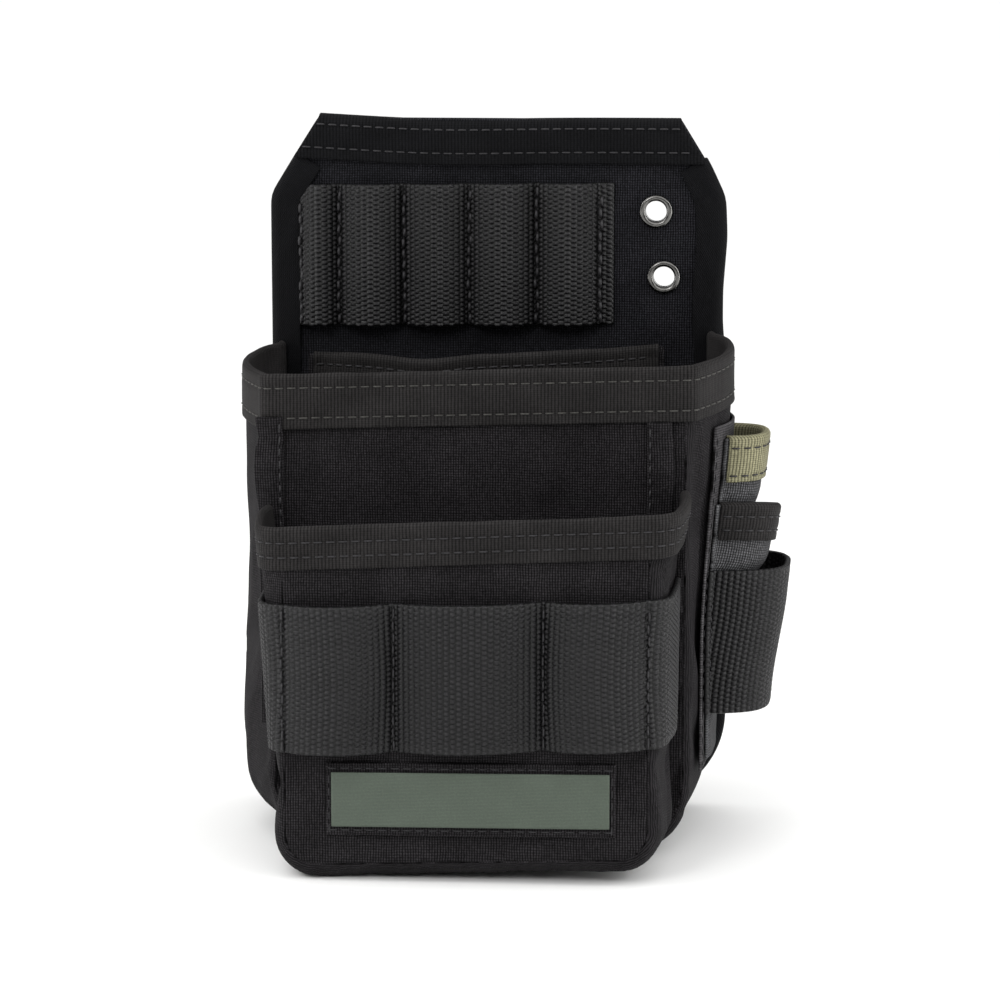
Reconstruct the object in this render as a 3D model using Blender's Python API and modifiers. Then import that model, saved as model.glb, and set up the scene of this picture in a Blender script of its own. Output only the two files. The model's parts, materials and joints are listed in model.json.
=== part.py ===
"""Electrician's belt pouch sewn from woven nylon, webbing and binding tape.

Lengths in this file are millimetres and angles are degrees; `mesh_object` writes metres.
The front faces -Y, +X is to the right of someone looking at the front, and +Z is up. The
origin is the middle of the flat floor of the main compartment.
"""

import math

import bmesh
import bpy

METRES = 0.001

# Cloth, tape and webbing
FABRIC = 1.0
TAPE = 0.9
WEBBING = 1.5
WEBBING_WIDTH = 50.8
GAP = 0.35
SEAM_FLAT = 0.9

# Back panel: a stiff board between two layers of cloth
PANEL_TOP = 254.0
PANEL_TOP_HALF = 65.5
PANEL_HALF = 82.8
CHAMFER_FOOT = 226.0
PANEL_FLOOR = 1.6
PANEL_CORNER = 34.0
PANEL_Y = 35.0
STIFFENER = 1.8
STIFFENER_INSET = 5.0
STACK = 2 * FABRIC + STIFFENER + 2 * 0.3
SIDE_BINDING_WIDTH = 9.5
TOP_BINDING_WIDTH = 15.0

# Five loops of webbing for screwdrivers, between six rows of stitching
DRIVER_SEAMS = (-72.8, -58.8, -34.9, -11.1, 13.4, 36.3, 41.4)
DRIVER_DOMES = (6.0, 6.0, 6.0, 6.0, 6.0, 0.0)
DRIVER_LOW = 180.0
DRIVER_TILT = 0.012
DRIVER_CLIP_LOW = 223.2
DRIVER_CLIP_SLOPE = 1.55

# Two eyelets
EYELETS = {"upper": (56.9, 221.2), "lower": (59.9, 197.4)}
EYELET_BORE = 7.7
EYELET_BARREL = 8.6
EYELET_FLANGE = 12.0
EYELET_CLEARANCE = 9.4

# Belt tunnel on the back
TUNNEL_HALF = 48.0
TUNNEL_LOW = 144.0
TUNNEL_HIGH = 236.0
TUNNEL_SEAM = 6.0
TUNNEL_DEPTH = 7.5

# Main compartment
MAIN_RIM_BINDING = 18.0
RIM_TILT = 0.033

# Pocket on the inside of the back panel
INNER_LEFT = -70.0
INNER_RIGHT = 60.0
INNER_LOW = 62.0
INNER_HIGH = 170.0
INNER_BULGE = 17.0
INNER_BINDING = 13.0

# Front pocket
POCKET_RIM_BINDING = 13.4
TOOL_SEAMS = (-64.0, -26.0, 25.0, 60.7)
TOOL_DOMES = (6.4, 6.8, 6.4)
TOOL_MIDDLE = 73.2
TOOL_TILT = 0.03
# How far the front pocket's sides are drawn in, by height
POCKET_PULL_LEFT = ((15.5, 4.6), (33.3, 6.4), (104.5, 1.8), (122.3, 0.0))
POCKET_PULL_RIGHT = ((20.0, 4.4), (38.1, 5.4), (92.2, 4.6), (110.3, 2.6), (128.4, 0.0))

LABEL_MIDDLE = 30.0
LABEL_WIDTH = 95.0
LABEL_HEIGHT = 18.8
LABEL_BASE_WIDTH = 99.0
LABEL_BASE_HEIGHT = 25.0

# The front pocket opens about this line along its lower front edge, parallel to X
POCKET_AXIS = (-1.65, -74.5, 6.5)
POCKET_MOVES = (
    "front_pocket_panel",
    "front_pocket_rim_binding",
    "front_tool_webbing",
    "label_backing",
    "woven_label",
)

# Pockets on the right-hand side: y at the front and back edge, then height
SIDE_BACKING = (-22.0, 27.0, 28.0, 151.0)
SIDE_TALL = (-11.5, 18.5, 31.0, 146.0)
SIDE_SHORT = (-16.0, 22.5, 52.0, 120.0)
SIDE_LOOP = (-21.0, 27.0, 48.6, 99.4)
SIDE_FLANGE = 2.4
TALL_BINDING = 15.0
SHORT_BINDING = 12.0
SHORT_RIM_SLOPE = -0.17

COLOURS = {
    "black_cordura": (0.012, 0.011, 0.013, 1.0),
    "grey_cordura": (0.075, 0.075, 0.085, 1.0),
    "charcoal_grosgrain": (0.030, 0.030, 0.033, 1.0),
    "khaki_grosgrain": (0.50, 0.47, 0.31, 1.0),
    "black_webbing": (0.022, 0.021, 0.023, 1.0),
    "woven_label": (0.105, 0.135, 0.110, 1.0),
    "black_polyethylene": (0.02, 0.02, 0.02, 1.0),
    "nickel": (0.62, 0.60, 0.57, 1.0),
}


class Bag:
    """A boxed pocket: a flat front, and one strip of cloth as its two sides and its floor.

    The strip starts at the edge of the front, turns round the corner with the radius `roll`
    (`floor_roll` along the floor) and runs to `back`, standing out by `lean` at the back and
    by `bulge` halfway, and drawn in by `pull`.
    """

    def __init__(
        self, left, right, front, back, roll, floor_roll, radius, tilt, rim, lean, bulge, pull
    ):
        self.left = left
        self.right = right
        self.front = front
        self.back = back
        self.roll = roll
        self.floor_roll = floor_roll
        self.radius = radius
        self.tilt = tilt
        self.rim = rim
        self.lean = lean
        self.bulge = bulge
        self.pull = pull

    def edge(self, side):
        return self.left if side < 0 else self.right

    def floor(self, x):
        """Height of the lower edge of the front."""
        return FABRIC / 2 + self.floor_roll + self.tilt * (x - self.left)

    def columns(self, count=8):
        """(angle, share of the way back) from the front edge to the back edge."""
        corner = [(angle, 0.0) for angle in (0, 30, 60, 90)]
        return corner + [(90, step / count) for step in range(1, count + 1)]

    def section(self, side, z, column, upright=1.0):
        """How far the strip stands out from the front's edge, and its y."""
        angle, share = column
        turn = math.radians(angle)
        roll = self.floor_roll + (self.roll - self.floor_roll) * upright
        out = roll * math.sin(turn)
        out += upright * self.bulge(side, z) * math.sin(math.pi * share)
        out += upright * (self.lean * share - self.pull(side, z) * math.sin(turn))
        corner = self.front + roll * (1 - math.cos(turn))
        return out, corner + (self.back - corner) * share

    def wall(self, side, share_up, column):
        """A point of the upright part, from the corner (0) to the rim (1)."""
        start = self.floor(self.edge(side)) + self.radius
        z = start + share_up * (self.rim(self.edge(side), self.front) - start)
        out, y = self.section(side, z, column)
        x = self.edge(side) + side * out
        return (x, y, start + share_up * (self.rim(x, y) - start))

    def corner(self, side, angle, column):
        """A point of the lower corner, `angle` round from the upright to the floor."""
        turn = math.radians(angle)
        across, down = math.cos(turn), math.sin(turn)
        middle = self.edge(side) - side * self.radius
        level = self.floor(middle + side * self.radius * across)
        out, y = self.section(side, level + self.radius, column, across**3)
        reach = self.radius + out
        return (middle + side * reach * across, y, level + self.radius - reach * down)

    def strip(self, rows, corner_steps=5, floor_steps=5):
        """The strip as rows of points, from the left rim round the floor to the right rim."""
        columns = self.columns()
        grid = [
            [self.wall(-1, 1 - row / rows, column) for column in columns]
            for row in range(rows + 1)
        ]
        angles = [90 * step / corner_steps for step in range(1, corner_steps + 1)]
        grid += [[self.corner(-1, angle, c) for c in columns] for angle in angles]
        ends = [[self.corner(side, 90, c) for c in columns] for side in (-1, 1)]
        for step in range(1, floor_steps):
            share = step / floor_steps
            grid.append([blend(a, b, share) for a, b in zip(*ends)])
        grid += [[self.corner(1, angle, c) for c in columns] for angle in angles[::-1]]
        grid += [
            [self.wall(1, row / rows, column) for column in columns]
            for row in range(rows + 1)
        ]
        return grid

    def face(self, columns, rows):
        """The front as rows of points, inside the strip's edge by the sewing gap."""
        left, right = self.left + GAP, self.right - GAP
        radius = self.radius - GAP
        grid = []
        for row in range(rows + 1):
            line = []
            for x in spread(left, right, columns, radius):
                past = max(left + radius - x, x - right + radius, 0.0)
                low = self.floor(x) + GAP + radius
                low -= math.sqrt(max(radius**2 - past**2, 0.0))
                high = self.rim(x, self.front)
                line.append((x, self.front, low + (high - low) * row / rows))
            grid.append(line)
        return grid

    def plan(self, z, front_xs):
        """The wall's middle at one height as (x, y), from the back left to the back right."""
        columns = self.columns()
        points = []
        for column in columns[::-1]:
            out, y = self.section(-1, z, column)
            points.append((self.left - out, y))
        points += [(x, self.front) for x in front_xs]
        for column in columns:
            out, y = self.section(1, z, column)
            points.append((self.right + out, y))
        return points


def blend(a, b, share):
    return tuple(p + (q - p) * share for p, q in zip(a, b))


def smooth(share):
    share = min(max(share, 0.0), 1.0)
    return share * share * (3 - 2 * share)


def spread(low, high, count, dense):
    """Positions from low to high, closer together within `dense` of either end."""
    ends = [dense * (1 - math.cos(math.radians(angle))) for angle in (0, 26, 45, 62, 76, 90)]
    middle = [low + dense + (high - low - 2 * dense) * n / count for n in range(1, count)]
    return [low + e for e in ends] + middle + [high - e for e in ends[::-1]]


def main_bulge(side, z):
    """The left side hangs out freely; the right is held straighter by its pockets."""
    if side < 0:
        return 9.5 + 2.5 * math.exp(-(((z - 42) / 28) ** 2))
    return 1.0 + 8.5 * smooth((z - 70) / 90)


def main_rim(x, y):
    return 171.4 + RIM_TILT * x + 3.0 * smooth((y + 36) / 70)


def pocket_rim(x, y):
    return 125.4 + 0.048 * x + 1.6 * smooth((y + 76) / 38)


def pocket_bulge(side, z):
    return 1.2


def main_pull(side, z):
    return 0.0


def pocket_pull(side, z):
    """The webbing draws the pocket in below its rim."""
    points = POCKET_PULL_LEFT if side < 0 else POCKET_PULL_RIGHT
    if z <= points[0][0]:
        return points[0][1]
    for (low, start), (high, end) in zip(points, points[1:]):
        if z <= high:
            return start + (end - start) * (z - low) / (high - low)
    return points[-1][1]


MAIN = Bag(
    left=-73.5,
    right=71.0,
    front=-36.0,
    back=33.2,
    roll=3.0,
    floor_roll=3.0,
    radius=22.0,
    tilt=0.0,
    rim=main_rim,
    lean=3.2,
    bulge=main_bulge,
    pull=main_pull,
)
POCKET = Bag(
    left=TOOL_SEAMS[0],
    right=TOOL_SEAMS[-1],
    front=-76.0,
    back=-37.6,
    roll=9.5,
    floor_roll=5.0,
    radius=10.0,
    tilt=0.036,
    rim=pocket_rim,
    lean=0.8,
    bulge=pocket_bulge,
    pull=pocket_pull,
)


def clear_scene():
    for item in list(bpy.data.objects):
        bpy.data.objects.remove(item, do_unlink=True)
    for item in list(bpy.data.collections):
        bpy.data.collections.remove(item)
    pouch = bpy.data.collections.new("electrician_tool_pouch")
    bpy.context.scene.collection.children.link(pouch)
    return pouch


def material(name, roughness, metallic=0.0):
    made = bpy.data.materials.new(name)
    made.use_nodes = True
    made.diffuse_color = COLOURS[name]
    shader = made.node_tree.nodes["Principled BSDF"]
    shader.inputs["Base Color"].default_value = COLOURS[name]
    shader.inputs["Roughness"].default_value = roughness
    shader.inputs["Metallic"].default_value = metallic
    return made


def mesh_object(name, shape, finish, rounded=True):
    """Links a bmesh drawn in millimetres as an object in metres."""
    bmesh.ops.scale(shape, vec=(METRES, METRES, METRES), verts=shape.verts)
    bmesh.ops.recalc_face_normals(shape, faces=shape.faces)
    mesh = bpy.data.meshes.new(name)
    shape.to_mesh(mesh)
    shape.free()
    mesh.materials.append(finish)
    mesh.polygons.foreach_set("use_smooth", [rounded] * len(mesh.polygons))
    made = bpy.data.objects.new(name, mesh)
    bpy.data.collections["electrician_tool_pouch"].objects.link(made)
    return made


def sheet(name, grid, thickness, finish):
    """Cloth: a grid of points on its middle surface, thickened equally both ways."""
    shape = bmesh.new()
    rows = [[shape.verts.new(point) for point in line] for line in grid]
    for upper, lower in zip(rows, rows[1:]):
        for n in range(len(upper) - 1):
            shape.faces.new((upper[n], upper[n + 1], lower[n + 1], lower[n]))
    made = mesh_object(name, shape, finish)
    thicken = made.modifiers.new("thickness", "SOLIDIFY")
    thicken.thickness = thickness * METRES
    thicken.offset = 0.0
    thicken.use_even_offset = True
    return made


def plate(name, outline, holes, y, thickness, finish):
    """A flat piece in the XZ plane with round holes; y is its front face."""
    curve = bpy.data.curves.new(name, "CURVE")
    curve.dimensions = "2D"
    curve.fill_mode = "BOTH"
    curve.extrude = thickness / 2
    circles = []
    for x, z, diameter in holes:
        turns = [math.radians(360 * step / 24) for step in range(24)]
        radius = diameter / 2
        circles.append([(x + radius * math.cos(t), z + radius * math.sin(t)) for t in turns])
    for loop in [outline] + circles:
        spline = curve.splines.new("POLY")
        spline.points.add(len(loop) - 1)
        for point, (x, z) in zip(spline.points, loop):
            point.co = (x, z, 0.0, 1.0)
        spline.use_cyclic_u = True
    drawn = bpy.data.objects.new(name + "_outline", curve)
    filled = bpy.data.meshes.new_from_object(drawn)
    shape = bmesh.new()
    shape.from_mesh(filled)
    bmesh.ops.remove_doubles(shape, verts=shape.verts, dist=0.001)
    for vert in shape.verts:
        x, z, depth = vert.co
        vert.co = (x, y + thickness / 2 + depth, z)
    bpy.data.objects.remove(drawn)
    bpy.data.meshes.remove(filled)
    return mesh_object(name, shape, finish, rounded=False)


def turned(name, profile, centre, finish, steps=32):
    """A ring turned about the Y axis through `centre`, from (radius, y) points."""
    x, z = centre
    shape = bmesh.new()
    loop = [shape.verts.new((x + radius, y, z)) for radius, y in profile]
    edges = [shape.edges.new((a, b)) for a, b in zip(loop, loop[1:] + loop[:1])]
    bmesh.ops.spin(
        shape,
        geom=loop + edges,
        cent=(x, 0, z),
        axis=(0, 1, 0),
        angle=math.tau,
        steps=steps,
        use_merge=True,
    )
    bmesh.ops.remove_doubles(shape, verts=shape.verts, dist=0.001)
    return mesh_object(name, shape, finish)


def offsets(path):
    """Outward normals of a path in plan, lengthened where it turns so widths hold."""
    normals = []
    for n, here in enumerate(path):
        before = path[max(n - 1, 0)]
        after = path[min(n + 1, len(path) - 1)]
        legs = []
        for a, b in ((before, here), (here, after)):
            length = math.hypot(b[0] - a[0], b[1] - a[1])
            if length > 1e-6:
                legs.append(((b[0] - a[0]) / length, (b[1] - a[1]) / length))
        mean = [sum(leg[axis] for leg in legs) / len(legs) for axis in (0, 1)]
        size = mean[0] ** 2 + mean[1] ** 2
        normals.append((mean[1] / size, -mean[0] / size))
    return normals


def channel_section(clear, drop, thickness):
    """Tape folded over an edge: (sideways, up) from the edge, along its middle surface."""
    side = clear / 2 + thickness / 2
    top = GAP + thickness / 2
    turn = 0.7
    return [
        (-side, -drop),
        (-side, -drop / 2),
        (-side, top - turn),
        (turn - side, top),
        (side - turn, top),
        (side, top - turn),
        (side, -drop / 2),
        (side, -drop),
    ]


def rim_tape(name, plan_at, heights, drop, finish, skip=0):
    """Binding tape folded over the top of a cloth wall.

    `plan_at` gives the wall's points in plan at a height, and `heights` the rim's height at
    each of them; `skip` leaves out that many points at either end.
    """
    section = channel_section(FABRIC + 2 * GAP, drop, TAPE)
    normals = offsets(plan_at(max(heights)))
    grid = []
    for n in range(skip, len(heights) - skip):
        nx, ny = normals[n]
        line = []
        for aside, up in section:
            x, y = plan_at(heights[n] + min(up, 0.0))[n]
            line.append((x - nx * aside, y - ny * aside, heights[n] + up))
        grid.append(line)
    return sheet(name, grid, TAPE, finish)


def panel_outline(inset):
    """The back panel's edge in the XZ plane, anticlockwise from the top right."""
    slope = (PANEL_HALF - PANEL_TOP_HALF) / (PANEL_TOP - CHAMFER_FOOT)
    bevel = math.hypot(1, slope)
    top = PANEL_TOP - inset
    side = PANEL_HALF - inset
    top_half = PANEL_TOP_HALF + inset * slope - inset * bevel
    foot = CHAMFER_FOOT - inset * (bevel - 1) / slope
    radius = PANEL_CORNER - inset
    low = PANEL_FLOOR + inset
    corner = []
    for angle in range(0, 91, 15):
        turn = math.radians(angle)
        x = side - radius + radius * math.cos(turn)
        corner.append((x, low + radius - radius * math.sin(turn)))
    right = [(top_half, top), (side, foot)] + corner
    return right[::-1], [(-x, z) for x, z in right]


def back_panel(finishes):
    holes = [(x, z, EYELET_CLEARANCE) for x, z in EYELETS.values()]
    edge_right, edge_left = panel_outline(0.0)
    outline = edge_right + edge_left
    plate("back_panel_face", outline, holes, PANEL_Y, FABRIC, finishes["black_cordura"])
    inner_right, inner_left = panel_outline(STIFFENER_INSET)
    board_y = PANEL_Y + FABRIC + 0.3
    board = finishes["black_polyethylene"]
    plate("back_panel_stiffener", inner_right + inner_left, holes, board_y, STIFFENER, board)
    lining_y = board_y + STIFFENER + 0.3
    plate("back_panel_lining", outline, holes, lining_y, FABRIC, finishes["black_cordura"])


def fold_over_edge(clear, drop):
    """The channel section turned on its side: (inwards, y) round the panel's edge."""
    middle = PANEL_Y + STACK / 2
    return [(up, middle + side) for side, up in channel_section(clear, drop, TAPE)]


def side_binding(finish):
    """Tape round the panel's sides and bottom, from one end of the top band to the other."""
    right, left = panel_outline(0.0)
    start = blend(right[-2], right[-1], 0.40)
    path = [start] + right[:-1][::-1] + left[2:][::-1] + [left[1]]
    path.append(blend(left[1], left[0], 0.40))
    section = fold_over_edge(STACK + 2 * GAP, SIDE_BINDING_WIDTH)
    grid = []
    for (x, z), (nx, nz) in zip(path, offsets(path)):
        grid.append([(x - nx * up, y, z - nz * up) for up, y in section])
    sheet("back_panel_side_binding", grid, TAPE, finish)


def top_binding(finish):
    """A wide band over the top edge, cut to the slope of the two corners."""
    slope = (PANEL_HALF - PANEL_TOP_HALF) / (PANEL_TOP - CHAMFER_FOOT)
    section = fold_over_edge(STACK + 2 * GAP, TOP_BINDING_WIDTH)
    grid = []
    for share in (-1.0, -0.5, 0.0, 0.5, 1.0):
        line = []
        for up, y in section:
            half = PANEL_TOP_HALF - min(up, 0.0) * slope
            line.append((share * half, y, PANEL_TOP + up))
        grid.append(line)
    sheet("back_panel_top_binding", grid, TAPE, finish)


def domed(seams, domes, steps=6):
    """(position, height) along webbing that is flat at each seam and domed between them."""
    points = [(seams[0], 0.0)]
    for start, end, height in zip(seams, seams[1:], domes):
        low, high = start + SEAM_FLAT, end - SEAM_FLAT
        if height:
            for step in range(steps + 1):
                share = step / steps
                rise = height * math.sin(math.pi * share) ** 0.7 if 0 < step < steps else 0.0
                points.append((low + (high - low) * share, rise))
    return points + [(seams[-1], 0.0)]


def driver_loops(finish):
    """Its top left corner is clipped to clear the binding on the panel's sloping corner."""
    rest = PANEL_Y - GAP - 0.1 - WEBBING / 2
    start = DRIVER_SEAMS[0]
    grid = []
    for share in (0.0, 0.35, 0.7, 1.0):
        line = []
        for x, rise in domed(DRIVER_SEAMS, DRIVER_DOMES):
            low = DRIVER_LOW + DRIVER_TILT * x
            high = min(low + WEBBING_WIDTH, DRIVER_CLIP_LOW + DRIVER_CLIP_SLOPE * (x - start))
            line.append((x, rest - rise, low + (high - low) * share))
        grid.append(line)
    sheet("driver_loop_webbing", grid, WEBBING, finish)


def eyelets(finish):
    """An eyelet's barrel and front flange are one pressing; its washer is behind the panel."""
    bore, barrel, flange = EYELET_BORE / 2, EYELET_BARREL / 2, EYELET_FLANGE / 2
    front = PANEL_Y - GAP
    back = PANEL_Y + STACK + GAP
    for name, centre in EYELETS.items():
        pressing = [
            (bore + 0.35, front - 0.75),
            (flange - 0.7, front - 0.75),
            (flange - 0.1, front - 0.4),
            (flange, front),
            (barrel, front),
            (barrel, back + 0.95),
            (barrel + 0.9, back + 0.95),
            (barrel + 1.0, back + 1.3),
            (bore + 0.35, back + 1.6),
            (bore, back + 1.2),
            (bore, front - 0.4),
        ]
        turned(name + "_eyelet", pressing, centre, finish)
        washer = [
            (barrel + 0.3, back),
            (flange + 0.3, back),
            (flange, back + 0.6),
            (barrel + 0.3, back + 0.6),
        ]
        turned(name + "_eyelet_washer", washer, centre, finish)


def belt_tunnel(finish):
    """A panel sewn along its top and bottom, open at both ends for a belt."""
    rest = PANEL_Y + STACK + GAP + FABRIC / 2
    heights = [TUNNEL_LOW, TUNNEL_LOW + TUNNEL_SEAM]
    rises = [0.0, 0.0]
    for share, rise in ((0.01, 0.75), (0.05, 1.0), (0.95, 1.0), (0.99, 0.75)):
        span = TUNNEL_HIGH - TUNNEL_LOW - 2 * TUNNEL_SEAM
        heights.append(TUNNEL_LOW + TUNNEL_SEAM + span * share)
        rises.append(rise * TUNNEL_DEPTH)
    heights += [TUNNEL_HIGH - TUNNEL_SEAM, TUNNEL_HIGH]
    rises += [0.0, 0.0]
    grid = []
    for z, rise in zip(heights, rises):
        grid.append([(TUNNEL_HALF * n / 2, rest + rise, z) for n in range(-2, 3)])
    sheet("belt_tunnel_panel", grid, FABRIC, finish)


def bag_rim(name, bag, drop, front_xs, finish):
    """Tape over the whole rim of a bag, along both sides and the front."""

    def plan_at(z):
        path = bag.plan(z, front_xs)
        path[0] = blend(path[0], path[1], 0.12)
        path[-1] = blend(path[-1], path[-2], 0.12)
        return path

    heights = [bag.rim(x, y) for x, y in plan_at(bag.rim(0, bag.front))]
    return rim_tape(name, plan_at, heights, drop, finish)


def main_compartment(finishes):
    cloth = finishes["black_cordura"]
    sheet("main_gusset", MAIN.strip(rows=12, corner_steps=7), FABRIC, cloth)
    sheet("main_front_panel", MAIN.face(columns=6, rows=4), FABRIC, cloth)
    xs = [-60, -40, -20, 0, 20, 40, 58]
    bag_rim("main_rim_binding", MAIN, MAIN_RIM_BINDING, xs, finishes["charcoal_grosgrain"])


def inner_plan(z):
    """The inner pocket in plan at one height: flat at its sewn sides, bulging between."""
    open_share = smooth((z - INNER_LOW) / (INNER_HIGH - INNER_LOW))
    depth = 2.0 + (INNER_BULGE - 2.0) * open_share
    rest = PANEL_Y - GAP - FABRIC / 2
    points = []
    for step in range(17):
        share = step / 16
        x = INNER_LEFT + (INNER_RIGHT - INNER_LEFT) * share
        inside = min(max((share - 0.05) / 0.9, 0.0), 1.0)
        rise = depth * math.sin(math.pi * inside) ** 0.8 if 0 < inside < 1 else 0.0
        points.append((x, rest - rise))
    return points


def inner_rim(x):
    return INNER_HIGH + RIM_TILT * x - 1.8 * math.exp(-(((x + 26) / 14) ** 2))


def inner_pocket(finishes):
    grid = []
    for row in range(9):
        line = []
        for n, (x, _) in enumerate(inner_plan(INNER_HIGH)):
            z = INNER_LOW + (inner_rim(x) - INNER_LOW) * row / 8
            line.append((x, inner_plan(z)[n][1], z))
        grid.append(line)
    sheet("inner_pocket_panel", grid, FABRIC, finishes["black_cordura"])
    heights = [inner_rim(x) for x, _ in inner_plan(INNER_HIGH)]
    tape = finishes["charcoal_grosgrain"]
    rim_tape("inner_pocket_binding", inner_plan, heights, INNER_BINDING, tape, skip=1)


def front_pocket(finishes):
    cloth = finishes["black_cordura"]
    sheet("front_pocket_gusset", POCKET.strip(rows=6), FABRIC, cloth)
    sheet("front_pocket_panel", POCKET.face(columns=6, rows=4), FABRIC, cloth)
    xs = [-50, -35, -18, 0, 18, 34, 48]
    tape = finishes["charcoal_grosgrain"]
    bag_rim("front_pocket_rim_binding", POCKET, POCKET_RIM_BINDING, xs, tape)


def tool_webbing(finish):
    """Webbing round the front pocket, sewn at its corners and twice across the front."""
    line = domed(TOOL_SEAMS, TOOL_DOMES, steps=7)
    xs = [x for x, _ in line]
    rises = {x: rise for x, rise in line}
    rest = FABRIC / 2 + GAP + WEBBING / 2
    grid = []
    for row in range(3):
        low = TOOL_MIDDLE + WEBBING_WIDTH * (row / 2 - 0.5)
        plan = POCKET.plan(low, xs[1:-1])
        line = []
        for (x, y), (nx, ny) in zip(plan, offsets(plan)):
            away = rest + (rises.get(x, 0.0) if y == POCKET.front else 0.0)
            line.append((x + nx * away, y + ny * away, low + TOOL_TILT * x))
        grid.append(line)
    sheet("front_tool_webbing", grid, WEBBING, finish)


def label(finishes):
    """A plain woven label on a slightly larger patch of cloth."""
    pieces = (
        ("label_backing", LABEL_BASE_WIDTH, LABEL_BASE_HEIGHT, 0.0, 0.8, "black_cordura"),
        ("woven_label", LABEL_WIDTH, LABEL_HEIGHT, 0.8 + GAP, 0.6, "woven_label"),
    )
    for name, width, height, above, thickness, finish in pieces:
        x, z = width / 2, height / 2
        corners = [(x, z), (-x, z), (-x, -z), (x, -z)]
        outline = [(a, LABEL_MIDDLE + b) for a, b in corners]
        y = POCKET.front - FABRIC / 2 - GAP - above - thickness
        plate(name, outline, [], y, thickness, finishes[finish])


def right_wall(y, z):
    """The outer face of the main compartment's right side."""
    start = MAIN.front + MAIN.roll
    share = (y - start) / (MAIN.back - start)
    return MAIN.right + MAIN.section(1, z, (90, share))[0] + FABRIC / 2


def side_backing(finish):
    front, back, low, high = SIDE_BACKING
    away = 0.55 + FABRIC / 2
    grid = []
    for row in range(13):
        z = low + (high - low) * row / 12
        ys = [front + (back - front) * n / 7 for n in range(8)]
        grid.append([(right_wall(y, z) + away, y, z) for y in ys])
    sheet("side_backing_panel", grid, FABRIC, finish)


def side_plan(place, z, depth, thickness):
    """A side pocket in plan at one height: two sewn flanges and a bump between them."""
    front, back = place[:2]
    away = 0.55 + FABRIC + 0.45 + thickness / 2
    start, end = front + SIDE_FLANGE, back - SIDE_FLANGE
    points = [(right_wall(front, z) + away, front)]
    for step in range(13):
        share = (1 - math.cos(math.pi * step / 12)) / 2
        y = start + (end - start) * share
        rise = depth * math.sqrt(max(1 - (2 * share - 1) ** 4, 0.0))
        points.append((right_wall(y, z) + away + rise, y))
    return points + [(right_wall(back, z) + away, back)]


def side_sheet(name, place, depth, thickness, finish, slope=0.0, rows=8):
    """`depth` gives the bump for a height; `slope` tilts the upper edge front to back."""
    low, high = place[2:]
    grid = []
    for row in range(rows + 1):
        share = row / rows
        line = []
        for n, (_, y) in enumerate(side_plan(place, low, 0.0, thickness)):
            z = low + (high + slope * y - low) * share
            line.append((side_plan(place, z, depth(z), thickness)[n][0], y, z))
        grid.append(line)
    return sheet(name, grid, thickness, finish)


def side_rim(name, place, depth, drop, finish, slope=0.0):
    def plan_at(z):
        return side_plan(place, z, depth(z), FABRIC)

    heights = [place[3] + slope * y for _, y in plan_at(place[3])]
    return rim_tape(name, plan_at, heights, drop, finish, skip=3)


def pressed_depth(z):
    """The tall pocket's bump where the pockets over it press it flat."""
    return 0.8 + 7.2 * smooth((z - SIDE_TALL[2]) / 85)


def tall_depth(z):
    return pressed_depth(z) + 2.4 * smooth((z - 114) / 13)


def short_depth(z):
    return pressed_depth(z) + 3.0 + 6.6 * smooth((z - 90) / 13)


def loop_depth(z):
    return 24.3 - 4.5 * smooth((88 - z) / 40)


def side_pockets(finishes):
    grey, black = finishes["grey_cordura"], finishes["black_webbing"]
    side_backing(grey)
    side_sheet("side_tall_pocket", SIDE_TALL, tall_depth, FABRIC, grey, rows=10)
    khaki = finishes["khaki_grosgrain"]
    side_rim("side_tall_pocket_binding", SIDE_TALL, tall_depth, TALL_BINDING, khaki)
    slope = SHORT_RIM_SLOPE
    side_sheet("side_short_pocket", SIDE_SHORT, short_depth, FABRIC, grey, slope)
    tape = finishes["charcoal_grosgrain"]
    side_rim("side_short_pocket_binding", SIDE_SHORT, short_depth, SHORT_BINDING, tape, slope)
    side_sheet("side_loop_webbing", SIDE_LOOP, loop_depth, WEBBING, black, rows=5)


def hang_on_axis():
    """Parents the moving pieces to an empty on the axis that the front pocket opens about."""
    axis = bpy.data.objects.new("front_pocket_opening_axis", None)
    axis.location = [length * METRES for length in POCKET_AXIS]
    bpy.data.collections["electrician_tool_pouch"].objects.link(axis)
    bpy.context.view_layer.update()
    for name in POCKET_MOVES:
        piece = bpy.data.objects[name]
        piece.parent = axis
        piece.matrix_parent_inverse = axis.matrix_world.inverted()


def main():
    clear_scene()
    roughness = {"nickel": 0.3, "black_polyethylene": 0.55}
    finishes = {}
    for name in COLOURS:
        finishes[name] = material(name, roughness.get(name, 0.9), float(name == "nickel"))
    back_panel(finishes)
    side_binding(finishes["black_cordura"])
    top_binding(finishes["black_cordura"])
    driver_loops(finishes["black_webbing"])
    eyelets(finishes["nickel"])
    belt_tunnel(finishes["black_cordura"])
    main_compartment(finishes)
    inner_pocket(finishes)
    front_pocket(finishes)
    tool_webbing(finishes["black_webbing"])
    label(finishes)
    side_pockets(finishes)
    hang_on_axis()


main()
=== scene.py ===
"""Electrician's belt pouch: woven cloth, binding tape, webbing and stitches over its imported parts.

Lengths in the functions are millimetres and are written to meshes in metres. The front faces
-Y, +X is to the right of someone looking at the front, and +Z is up.
"""

import json
import math

import bpy
import numpy as np
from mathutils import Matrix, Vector, noise


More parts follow.
